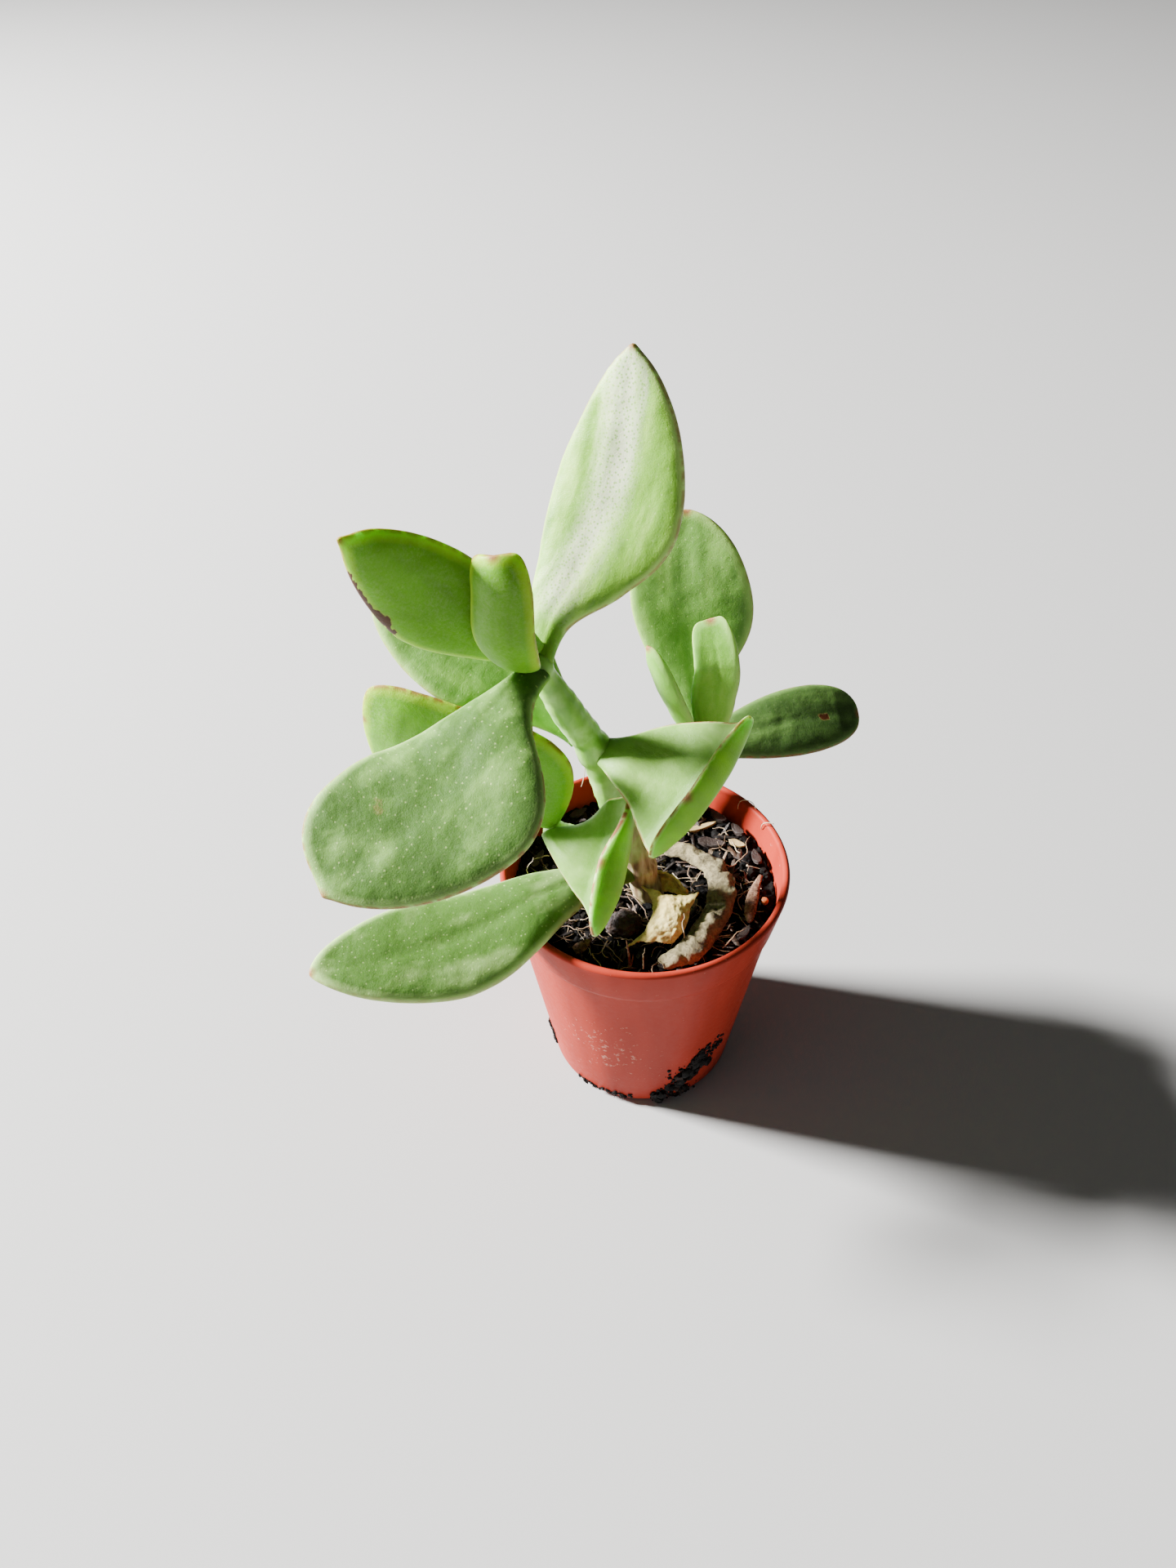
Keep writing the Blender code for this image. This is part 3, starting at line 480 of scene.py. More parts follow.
def add_node(tree, kind, inputs=(), stops=(), **settings):
    """Adds a shader node with its settings and links; stops fill a colour ramp.

    Inputs are named, or listed in the node's own order. For a Map Range that is the value, the range it
    comes from and the range it goes to.
    """
    node = tree.nodes.new("ShaderNode" + kind)
    for name, value in settings.items():
        setattr(node, name, value)
    plug(tree, node, inputs)
    if stops:
        ramp = node.color_ramp.elements
        while len(ramp) < len(stops):
            ramp.new(1.0)
        for element, (position, colour) in zip(ramp, stops):
            element.position = position
            element.color = linear(colour)
    return node


def new_material(name):
    """Empty material, the function that adds its nodes, and the one that feeds its shader."""
    material = bpy.data.materials.new(name)
    material.use_nodes = True
    tree = material.node_tree
    return material, partial(add_node, tree), partial(plug, tree, tree.nodes["Principled BSDF"])


def select_only(*pieces):
    """Selects just these pieces and makes the first of them active."""
    if bpy.context.mode != "OBJECT":
        bpy.ops.object.mode_set(mode="OBJECT")
    bpy.ops.object.select_all(action="DESELECT")
    for piece in pieces:
        piece.select_set(True)
        bpy.context.view_layer.objects.active = pieces[0]


def take(name):
    """The object that an operator has just added, named."""
    piece = bpy.context.object
    piece.name = name
    piece.data.name = name
    return piece


def start(primitive, name, **sizes):
    """Adds a primitive with nothing else selected, and names it."""
    select_only()
    primitive(**sizes)
    return take(name)


def read_points(piece):
    """Places of the mesh's points as they are stored, in metres."""
    points = np.zeros(len(piece.data.vertices) * 3)
    piece.data.vertices.foreach_get("co", points)
    return points.reshape(-1, 3)


def write_points(piece, points):
    """Moves the mesh's points to places in millimetres."""
    piece.data.vertices.foreach_set("co", (np.asarray(points) * MM).ravel())
    piece.data.update()


def store(piece, name, values):
    """Keeps a number or a vector on each point for the material to read."""
    values = np.asarray(values, float)
    kind = "FLOAT" if values.ndim == 1 else "FLOAT_VECTOR"
    attribute = piece.data.attributes.new(name, kind, "POINT")
    attribute.data.foreach_set("value" if values.ndim == 1 else "vector", values.ravel())


def apply_modifier(piece, kind, **settings):
    """Adds a modifier to the active piece and applies it."""
    modifier = piece.modifiers.new(kind.lower(), kind)
    for name, value in settings.items():
        setattr(modifier, name, value)
    bpy.ops.object.modifier_apply(modifier=modifier.name)


def outward(piece):
    """Turns every face of a closed mesh outwards."""
    select_only(piece)
    bpy.ops.object.mode_set(mode="EDIT")
    bpy.ops.mesh.select_all(action="SELECT")
    bpy.ops.mesh.normals_make_consistent(inside=False)
    bpy.ops.object.mode_set(mode="OBJECT")


def settle(piece, material, slot, *nodes, angle=None):
    """Gives the piece its material and shading, and ties it to the frame."""
    select_only(piece)
    if angle is None:
        bpy.ops.object.shade_smooth()
    else:
        bpy.ops.object.shade_smooth_by_angle(angle=math.radians(angle))
    piece.data.materials.clear()
    piece.data.materials.append(material)
    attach(piece, "root")
    if nodes:
        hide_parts(*nodes)
    piece.select_set(False)


def leaf_material(name, finish):
    """Living skin of a succulent leaf: waxy cuticle with a powdery bloom over wet green tissue.

    It is mottled, half matt, and lets light through where it is thin. Pale pores dot the upper face, the
    margin is pale with a painted glow and a broken red-brown line, and old scars are brown. The pattern is
    laid out in millimetres across and along the leaf itself, so it follows the leaf where it bends.
    """
    material, add, feed_shader = new_material(name)
    blade = add("Attribute", attribute_name="blade_mm").outputs["Vector"]
    marks = add("Attribute", attribute_name="leaf_marks").outputs["Vector"]
    edge, tip, scar = add("SeparateXYZ", [marks]).outputs
    across, along, through = add("SeparateXYZ", [blade]).outputs
    is_upper = add("MapRange", [through, -0.3, 0.3])

    # Streaks and clouds follow the veins, 3 to 8 mm apart across the leaf and longer than they are wide.
    veins = add("Mapping", {0: blade, 3: (*finish["veins"], 0.3)})
    mottle = add("TexNoise", {"Vector": veins, "Scale": 1.0, "Detail": 4.0, "Roughness": 0.55})
    shade = add("MapRange", {0: mottle, 3: 0.5 - finish["streaks"], 4: 0.5 + finish["streaks"]}, clamp=False)
    deep, middle = finish["deep"], finish["middle"]
    face = add("ValToRGB", [shade], stops=[(0.1, deep), (0.5, middle), (0.95, finish["pale"])])
    # The underside's colours: its own green, and a bright lime that is partly painted glow of light through
    # it.
    hind = add("ValToRGB", [shade], stops=[(0.0, deep), (0.25, middle), (0.6, finish["back"])])
    colour = add("Mix", {0: is_upper, 6: hind, 7: face}, data_type="RGBA")

    # Bloom: a fine pale dust, rubbed thin in places, with grains of about half a millimetre.
    grain = add("TexNoise", {"Vector": blade, "Scale": 1.9, "Detail": 4.0, "Roughness": 0.75})
    rubbed = add("TexNoise", {"Vector": blade, "Scale": 0.09, "Detail": 2.0})
    dust = add("MapRange", {0: grain, 1: 0.42, 2: 0.72, 4: finish["bloom"]})
    thin = add("MapRange", [rubbed, 0.35, 0.65, 0.35, 1.0])
    dust = add("Math", [dust, thin], operation="MULTIPLY")

    # Faint scribble of dried water marks, drawn a few tenths of a millimetre wide.
    scribble = add("TexNoise", {"Vector": blade, "Scale": 0.55, "Detail": 3.0, "Distortion": 2.2})
    away = add("Math", [scribble, 0.5], operation="SUBTRACT")
    away = add("Math", [away], operation="ABSOLUTE")
    line = add("MapRange", [away, 0.0, 0.012, 0.35 * finish["bloom"], 0.0])

    # Pores: pale dots up to 0.4 mm across, 1.3 mm apart, on the upper face only.
    pores = add("TexVoronoi", {"Vector": blade, "Scale": 0.75, "Randomness": 1.0}, voronoi_dimensions="2D")
    dot = add("MapRange", [pores, 0.03, 0.15, 0.7, 0.0])
    strength = add("SeparateColor", [pores.outputs["Color"]])
    strength = add("MapRange", {0: strength, 1: 0.2, 3: 0.0, 4: 1.0})
    worn = add("MapRange", [mottle, 0.3, 0.6, 0.4, 1.0])
    for share in (strength, worn, is_upper, finish["dots"]):
        dot = add("Math", [dot, share], operation="MULTIPLY")
    layers = [(dust, "#D2E2B4"), (line, "#D8E6BC"), (dot, "#C8E08C")]

    # Painted sheen: a pale band painted along the midrib for the light that its thick wax reflects, broken by
    # dark specks a third of a millimetre across.
    if "sheen_band" in finish:
        bent = add("Math", [mottle, 8.0, across], operation="MULTIPLY_ADD")
        off = add("Math", [bent, 3.4], operation="SUBTRACT")
        off = add("Math", [off], operation="ABSOLUTE")
        band = add("MapRange", [off, 0.0, 5.2, finish["sheen_band"], 0.0], interpolation_type="SMOOTHSTEP")
        neck = add("MapRange", [along, 5.0, 12.0], interpolation_type="SMOOTHSTEP")
        specks = add("TexVoronoi", {"Vector": blade, "Scale": 1.3}, voronoi_dimensions="2D")
        pitted = add("MapRange", [specks, 0.12, 0.3, 0.25, 1.0])
        for share in (neck, pitted, is_upper):
            band = add("Math", [band, share], operation="MULTIPLY")
        layers.append((band, "#FFFBE6"))

    # Margin: thinner, paler tissue, painted brighter for 1 to 2 mm as a painted glow of light through it,
    # with a broken red-brown line on its very edge.
    glow = add("MapRange", [edge, 0.3, finish["glow"], 0.75, 0.0])
    broken = add("TexNoise", {"Vector": blade, "Scale": 0.6, "Detail": 4.0})
    broken = add("MapRange", [broken, 0.36, 0.52])
    red = add("MapRange", [edge, 0.3, finish["red_width"], finish["red"], 0.0])
    red = add("Math", [red, broken], operation="MULTIPLY")
    point = add("MapRange", [tip, 0.6, 1.6, 0.9, 0.0])
    red = add("Math", [red, point], operation="MAXIMUM")

    # Scars: a faint tan stain where the skin was hurt a little, dark cork where it was torn.
    torn = add("Math", [grain, 0.9, -0.45], operation="MULTIPLY_ADD")
    hurt = add("Math", [scar, torn], operation="ADD")
    faded = add("MapRange", {0: hurt, 1: 0.3, 2: 0.55, 4: 0.3})
    cork = add("MapRange", [hurt, 0.6, 0.78])
    layers += [(glow, finish["rim"]), (red, "#8A5038"), (faded, "#A87E4C"), (cork, "#46220C")]
    for cover, tint in layers:
        colour = add("Mix", {0: cover, 6: colour, 7: linear(tint)}, data_type="RGBA")
    rough = add("MapRange", [grain, 0.3, 0.7, finish["rough"] - 0.06, finish["rough"] + 0.14])

    # Relief: cells of the skin at 0.25 mm, pores standing up a little, and slow waves.
    cells = add("TexNoise", {"Vector": blade, "Scale": 4.0, "Detail": 3.0})
    waves = add("TexNoise", {"Vector": blade, "Scale": 0.3, "Detail": 2.0})
    height = add("Math", [waves, 5.0, cells], operation="MULTIPLY_ADD")
    height = add("Math", [dot, 0.6, height], operation="MULTIPLY_ADD")
    relief = add("Bump", {"Height": height, "Strength": 0.5, "Distance": 0.00009})
    feed_shader({"Base Color": colour, "Roughness": rough, "Normal": relief, "IOR": 1.45,
                 "Specular IOR Level": 0.22, "Subsurface Weight": 0.35, "Subsurface Radius": GREEN_SCATTER,
                 "Subsurface Scale": 0.0016})
    return material


def stem_material():
    """Young succulent stem: green waxy skin above, dry straw-coloured papery bark at the foot."""
    material, add, feed_shader = new_material("stem_skin_and_papery_bark")
    place = add("TexCoord").outputs["Object"]
    height = add("SeparateXYZ", [place]).outputs[2]

    # Bark splits into fibres about a millimetre wide; the green is blotched every 4 mm.
    long_grain = add("Mapping", {0: place, 3: (900, 900, 120)})
    streak = add("TexNoise", {"Vector": long_grain, "Scale": 1.0, "Detail": 4.0})
    blotch = add("TexNoise", {"Vector": place, "Scale": 260.0, "Detail": 4.0})
    green = add("ValToRGB", [blotch], stops=[(0.35, "#7CB442"), (0.52, "#96C85C"), (0.68, "#B6E084")])
    bark = add("ValToRGB", [streak], stops=[(0.3, "#6B5238"), (0.46, "#A08C62"), (0.62, "#C3B68C")])

    # The green starts in a ragged line about 60 mm up.
    edge = add("Math", [blotch, 0.024, height], operation="MULTIPLY_ADD")
    living = add("MapRange", [edge, 0.068, 0.078])
    skin = add("Mix", {0: living, 6: bark, 7: green}, data_type="RGBA")
    rough = add("MapRange", {0: living, 3: 0.75, 4: 0.38})
    relief = add("Bump", {"Height": streak, "Strength": 0.5, "Distance": 0.0002})
    feed_shader({"Base Color": skin, "Roughness": rough, "Normal": relief, "Subsurface Weight": 0.3,
                 "Subsurface Radius": GREEN_SCATTER, "Subsurface Scale": 0.0014})
    return material


def pot_material(colour):
    """Injection-moulded polypropylene: even coral, waxy gloss, faint flow bands and dried lime."""
    material, add, feed_shader = new_material("moulded_polypropylene")
    place = add("TexCoord").outputs["Object"]
    upright = add("Mapping", {0: place, 3: (190, 190, 14)})
    band = add("TexNoise", {"Vector": upright, "Scale": 1.0, "Detail": 2.0})
    flow = add("MapRange", [band, 0.35, 0.65, 0.0, 0.35])
    plastic = add("Mix", {0: flow, 6: (*colour, 1.0), 7: linear("#762014")}, data_type="RGBA")

    # Lime and dust dried on in specks of about a millimetre, thickest low on the front.
    speck = add("TexNoise", {"Vector": place, "Scale": 900.0, "Detail": 5.0, "Roughness": 0.7})
    near = add("VectorMath", [place, LIME_PATCH], operation="DISTANCE").outputs["Value"]
    patch = add("MapRange", [near, 0.003, 0.017, 0.11, 0.0])
    lime = add("Math", [speck, patch], operation="ADD")
    lime = add("MapRange", [lime, 0.66, 0.76, 0.0, 0.45])
    dusty = add("Mix", {0: lime, 6: plastic, 7: linear("#E3B7A4")}, data_type="RGBA")
    rough = add("MapRange", [speck, 0.3, 0.7, 0.36, 0.52])
    relief = add("Bump", {"Height": speck, "Strength": 0.25, "Distance": 0.0001})
    feed_shader({"Base Color": dusty, "Roughness": rough, "Normal": relief, "IOR": 1.49,
                 "Specular IOR Level": 0.06})
    return material


def loose_material(name):
    """Loose natural matter: each bit has its own tint, and fine grain in colour, gloss and relief."""
    matter = LOOSE_MATTER[name]
    material, add, feed_shader = new_material(name)
    place = add("TexCoord").outputs["Object"]
    tint = add("Attribute", attribute_name="tint").outputs["Fac"]
    grain = add("TexNoise", {"Vector": place, "Scale": 1000 / matter["grain"], "Detail": 5.0,
                             "Roughness": 0.7})
    shade = add("Math", [grain, 0.5, tint], operation="MULTIPLY_ADD")
    shade = add("Math", [shade, 0.25], operation="SUBTRACT")
    colour = add("ValToRGB", [shade], stops=matter["stops"])
    rough = add("MapRange", [grain, 0.35, 0.65, matter["rough"] - 0.2, matter["rough"] + 0.1])
    relief = add("Bump", {"Height": grain, "Strength": 0.9, "Distance": matter["relief"] * MM})
    feed_shader({"Base Color": colour, "Roughness": rough, "Normal": relief,
                 "Specular IOR Level": matter.get("gloss", 0.5)})
    return material


def dry_material(name):
    """Dead leaf: cork-dry tissue, wrinkled in pits of two thirds of a millimetre, darker in them partly as
    painted shade.
    """
    material, add, feed_shader = new_material(name)
    place = add("TexCoord").outputs["Object"]
    pits = add("TexNoise", {"Vector": place, "Scale": 1500.0, "Detail": 5.0, "Roughness": 0.7,
                            "Distortion": 0.6})
    stain = add("TexNoise", {"Vector": place, "Scale": 260.0, "Detail": 4.0})
    # The pits' relief also darkens their colour: partly the leaf's own colour and partly painted shade.
    mixed = add("Math", [pits, 0.6], operation="MULTIPLY")
    mixed = add("Math", [stain, 0.4, mixed], operation="MULTIPLY_ADD")
    stops, translucent = DEAD_MATTER[name]
    colour = add("ValToRGB", [mixed], stops=stops)
    relief = add("Bump", {"Height": pits, "Strength": 1.0, "Distance": 0.0004})
    feed_shader({"Base Color": colour, "Normal": relief, "Roughness": 0.8, "Subsurface Weight": translucent,
                 "Subsurface Radius": (1.0, 0.7, 0.4), "Subsurface Scale": 0.0006})
    return material


def grow_leaf(name, leaf, segments, rings, sink, wobble):
    """Pulls a ball into the leaf's shape and stores on its skin what the material reads."""
    piece = start(bpy.ops.mesh.primitive_uv_sphere_add, name, segments=segments, ring_count=rings, radius=1)
    ball = read_points(piece)
    ring = np.rint(np.arccos(np.clip(-ball[:, 2], -1, 1)) / np.pi * rings).astype(int)
    turn = np.arctan2(ball[:, 1], ball[:, 0])
    x = np.clip((np.arange(rings + 1) - 1) / (rings - 1), 0, 1)
    s = 1 - (1 - x) ** TIP_CROWDING
    place, heading, face, length = leaf_midline(leaf, s, sink)
    right = np.cross(heading, face)

    # The blade is thickest a third of the way along and thins out just before the tip.
    plump = (0.55 + 0.45 * np.sin(np.pi * s**0.7)) * np.clip((1 - s) / 0.15, 0, 1) ** 0.5
    plump = plump + 0.12 * np.clip(s / 0.5, 0, 1) * (s < 1)
    poles = np.isin(ring, (0, rings))
    across = np.where(poles, 0, np.sign(np.cos(turn)) * np.abs(np.cos(turn)) ** SQUARENESS)
    through = np.where(poles, 0, np.sign(np.sin(turn)) * np.abs(np.sin(turn)) ** SQUARENESS)
    side = (across >= 0).astype(int)
    shares = np.stack([half_width(leaf, s, 0), half_width(leaf, s, 1)])
    width = shares[side, ring] * np.where(side, leaf["right"], leaf["left"])

    # The underside is rounder than the face, and a shallow groove runs up the face along the midrib.
    depth = plump[ring] * leaf["thick"] / 2 * through * np.where(through > 0, 0.95, 1.1)
    groove = GROOVE_DEPTH * leaf["thick"] * np.exp(-(across / GROOVE_WIDTH) ** 2)
    depth = depth - groove * (through > 0) * np.sin(np.pi * s[ring])

    # Each half of the leaf is bent up along an arc, more towards the tip, and the nib stands out of the end.
    cup = np.radians(np.asarray(leaf["cup"], float)[side]) * np.sqrt(s[ring]) + 1e-4
    bend = cup * np.abs(across)
    sideways = np.sign(across) * (width * np.sin(bend) / cup - depth * np.sin(bend))
    upwards = width * (1 - np.cos(bend)) / cup + depth * np.cos(bend)
    near_tip = np.clip((s[ring] - NIB_FROM) / (1 - NIB_FROM), 0, 1) ** 2
    nib = leaf.get("nib", 0) * np.exp(-(width * across / NIB_WIDTH) ** 2) * near_tip
    points = place[ring] + right[ring] * sideways[:, None] + face[ring] * upwards[:, None]
    points = points + heading[ring] * nib[:, None]

    # Slow waves 11 mm long lift and lower the blade, but not its neck.
    lean = clouds(points, 11.0, seed=len(name))[:, None] * face[ring] * wobble
    points = points + lean * np.clip(s[ring] * 3, 0, 1)[:, None]
    write_points(piece, points)

    # Distance of every point from the margin, whose line is filled in between the mesh's own points.
    tip_point = points[ring == rings][0]
    on_rim = (np.abs(through) < 1e-6) & (s[ring] > MARGIN_FROM)
    margin = []
    for way in (-1, 1):
        on_side = on_rim & (across * way > 0.5)
        rim = np.concatenate([points[on_side][np.argsort(ring[on_side])], [tip_point]])
        share = np.linspace(0, len(rim) - 1, 5 * len(rim))
        margin.append(np.stack([np.interp(share, np.arange(len(rim)), rim[:, k]) for k in range(3)], 1))
    margin = np.concatenate(margin)
    edge = np.concatenate([np.linalg.norm(part[:, None] - margin, axis=2).min(1)
                           for part in np.array_split(points, 24)])

    along = s[ring] * length
    scar = np.zeros(len(points))
    for scar_across, scar_along, radius, strength in leaf.get("scars", ()):
        gap = np.hypot(width * (across - scar_across), along - scar_along)
        sharpness = 1.3 if strength < 1 else 6
        scar = np.maximum(scar, strength * np.clip(1 + sharpness * (1 - gap / radius), 0, 1))
    store(piece, "blade_mm", np.stack([width * across, along, through], 1))
    store(piece, "leaf_marks", np.stack([edge, np.linalg.norm(points - tip_point, axis=1), scar], 1))
    return piece


def sweep(line, radii, sides):
    """Points and faces of a closed round tube along a line of points."""
    line = np.asarray(line, float)
    heading = unit(np.gradient(line, axis=0))
    helper = np.array([0.31, 0.17, 1.0])
    first = unit(np.cross(heading, helper))
    second = np.cross(heading, first)
    turn = np.linspace(0, 2 * np.pi, sides, endpoint=False)
    ring = first[:, None] * np.cos(turn)[:, None] + second[:, None] * np.sin(turn)[:, None]
    points = (line[:, None] + np.asarray(radii)[:, None, None] * ring).reshape(-1, 3)
    last = len(points) - sides
    faces = [(i + j, i + (j + 1) % sides, i + sides + (j + 1) % sides, i + sides + j)
             for i in range(0, last, sides) for j in range(sides)]
    faces += [tuple(reversed(range(sides))), tuple(range(last, len(points)))]
    return points, faces


class Pile:
    """Many small bits gathered in one mesh, each with its own tint."""

    def __init__(self):
        self.points = []
        self.faces = []
        self.tints = []
        self.count = 0

    def add(self, points, faces, tint):
        """Puts one more bit on the pile."""
        self.points.append(points)
        self.faces += [tuple(i + self.count for i in face) for face in faces]
        self.tints.append(np.full(len(points), tint))
        self.count += len(points)

    def piece(self, name):
        """The whole pile as an object."""
        mesh = bpy.data.meshes.new(name)
        mesh.from_pydata((np.concatenate(self.points) * MM).tolist(), [], self.faces)
        made = bpy.data.objects.new(name, mesh)
        bpy.context.scene.collection.objects.link(made)
        store(made, "tint", np.concatenate(self.tints))
        return made


def crumb_shapes(count, seed):
    """A few rough lumps of unit size that crumbs are copied from."""
    shapes = []
    for i in range(count):
        lump = start(bpy.ops.mesh.primitive_ico_sphere_add, "crumb_pattern", subdivisions=2, radius=1)
        ball = read_points(lump)
        rough = 1 + 0.55 * clouds(ball, 0.9, seed=seed + i, octaves=2)
        faces = [tuple(face.vertices) for face in lump.data.polygons]
        shapes.append((ball * rough[:, None], faces))
        bpy.data.objects.remove(lump)
    return shapes


def random_turn(rng):
    """Rotation matrix of any direction."""
    w, x, y, z = unit(rng.normal(size=4))
    return np.array([[1 - 2 * (y * y + z * z), 2 * (x * y - z * w), 2 * (x * z + y * w)],
                     [2 * (x * y + z * w), 1 - 2 * (x * x + z * z), 2 * (y * z - x * w)],
                     [2 * (x * z - y * w), 2 * (y * z + x * w), 1 - 2 * (x * x + y * y)]])


def wisp(rng, start_point, length, radius, flatness):
    """A fibre or rootlet: a thin tube that wanders from its start."""
    steps = 9
    heading = rng.normal(size=3)
    heading[2] *= flatness
    line = [np.asarray(start_point, float)]
    for _ in range(steps):
        heading = unit(heading) + rng.normal(size=3) * (0.35, 0.35, 0.25 * flatness)
        line.append(line[-1] + unit(heading) * length / steps)
    radii = radius * (1 - 0.75 * np.linspace(0, 1, steps + 1) ** 2)
    return sweep(line, radii, sides=5)


def patch_points(rows, count):
    """Grid of points on the smooth patch through rows of points."""
    share = np.linspace(0, 1, count)
    lines = np.stack([curve_through(row, share) for row in rows])
    return np.stack([curve_through(lines[:, j], share) for j in range(count)], 1)


class JadePotSettings(bpy.types.PropertyGroup):
    """Sizes and colour of the pot."""

    colour: FloatVectorProperty(name="Colour", description="Colour of the plastic, linear", subtype="COLOR",
                                default=linear("#A23425")[:3], min=0, max=1)
    segments: IntProperty(name="Segments", description="Flats round the pot", default=144, min=24, max=256)


class JadeLeafSettings(bpy.types.PropertyGroup):
    """Fineness and shape of the leaves."""

    segments: IntProperty(name="Round", description="Points round each leaf", default=64, min=16, max=128)
    rings: IntProperty(name="Along", description="Points along each leaf", default=84, min=16, max=160)
    wobble: FloatProperty(name="Wobble", description="Depth of the slow waves in a leaf, in mm", default=0.35,
                          min=0, max=2)


class JadeCompostSettings(bpy.types.PropertyGroup):
    """How rough and how littered the compost is."""

    crumbs: IntProperty(name="Crumbs", description="Loose crumbs of peat", default=900, min=0, max=3000)
    shards: IntProperty(name="Shards", description="Small slivers of bark", default=260, min=0, max=1000)
    fibres: IntProperty(name="Fibres", description="Fibres and rootlets", default=260, min=0, max=1000)
    seed: IntProperty(name="Seed", description="Start of the random scatter", default=11)


class JadeStageSettings(bpy.types.PropertyGroup):
    """Floor, light and camera."""

    floor: FloatVectorProperty(name="Floor", description="Colour of the floor, linear", subtype="COLOR",
                               default=linear("#B4B3B1")[:3], min=0, max=1)
    key: FloatProperty(name="Key light", description="Power of the main softbox, watts", default=222, min=0)
    fill: FloatProperty(name="Fill light", description="Power of the fill softbox, watts", default=0.8, min=0)
    sky: FloatProperty(name="Surround", description="Strength of even light all round", default=0.08, min=0)


class JADE_OT_pot(bpy.types.Operator):
    """Turns the pot's shell from its profile and drills the drain holes"""

    bl_idname = "jade.pot"
    bl_label = "Pot"

    def profile(self):
        """(radius, height) from the foot up the outside, over the lip and down the inside to the floor."""
        def rounding(centre, radius, first, last, count):
            return [(centre[0] + radius * math.cos(a), centre[1] + radius * math.sin(a))
                    for a in np.radians(np.linspace(first, last, count))]

        corner = (POT_BASE_RADIUS - POT_CORNER + 0.3, POT_CORNER)
        lip = (POT_RIM_RADIUS - LIP_RADIUS, POT_HEIGHT - LIP_RADIUS)
        foot = rounding(corner, POT_CORNER, -90, -12, 7)
        body = [(wall_radius(z), z) for z in (12, 22, 32)]
        collar = [(BODY_TOP_RADIUS - 0.1, COLLAR_FOOT - 1.2), (BODY_TOP_RADIUS + 0.05, COLLAR_FOOT - 0.6),
                  (COLLAR_RADIUS - 0.1, COLLAR_FOOT - 0.1), (COLLAR_RADIUS + 0.02, COLLAR_FOOT + 0.4)]
        brim = rounding(lip, LIP_RADIUS, -10, 190, 13)
        inside = [(POT_RIM_RADIUS - POT_WALL - 0.55, POT_HEIGHT - 1.6),
                  (COLLAR_RADIUS - POT_WALL, COLLAR_FOOT - 0.2)]
        inside += [(wall_radius(z) - POT_WALL, z) for z in (COLLAR_FOOT - 1.1, 2.4)]
        return foot + body + collar + brim + inside + [(POT_BASE_RADIUS - 2.1, POT_FLOOR)]

    def execute(self, context):
        settings = context.scene.jade_pot
        steps = self.profile()
        pot = start(bpy.ops.mesh.primitive_circle_add, "pot_shell", vertices=settings.segments,
                    radius=steps[0][0] * MM)
        bpy.ops.object.mode_set(mode="EDIT")
        for (radius, height), (next_radius, next_height) in zip(steps, steps[1:]):
            rise = (next_height - height) * MM
            bpy.ops.mesh.extrude_region_move(TRANSFORM_OT_translate={"value": (0, 0, rise)})
            grow = next_radius / radius
            bpy.ops.transform.resize(value=(grow, grow, 1), center_override=(0, 0, next_height * MM))
        bpy.ops.mesh.edge_face_add()
        bpy.ops.mesh.select_all(action="DESELECT")
        bpy.ops.object.mode_set(mode="OBJECT")

        # The inside floor is closed now, and the foot's ring, where the profile began, comes last.
        for vertex in pot.data.vertices:
            vertex.select = vertex.co.z < 1e-6
        bpy.ops.object.mode_set(mode="EDIT")
        bpy.ops.mesh.edge_face_add()
        bpy.ops.object.mode_set(mode="OBJECT")
        outward(pot)
        for k in range(DRAIN_COUNT):
            turn = 2 * math.pi * (k + 0.5) / DRAIN_COUNT
            place = (DRAIN_CIRCLE * math.cos(turn) * MM, DRAIN_CIRCLE * math.sin(turn) * MM, 0)
            drill = start(bpy.ops.mesh.primitive_cylinder_add, "drain_drill", vertices=40,
                          radius=DRAIN_RADIUS * MM, depth=5 * MM, location=place)
            select_only(pot)
            apply_modifier(pot, "BOOLEAN", object=drill, operation="DIFFERENCE")
            bpy.data.objects.remove(drill)
        settle(pot, pot_material(settings.colour), "pot_plastic", "pot", angle=32)
        return {"FINISHED"}


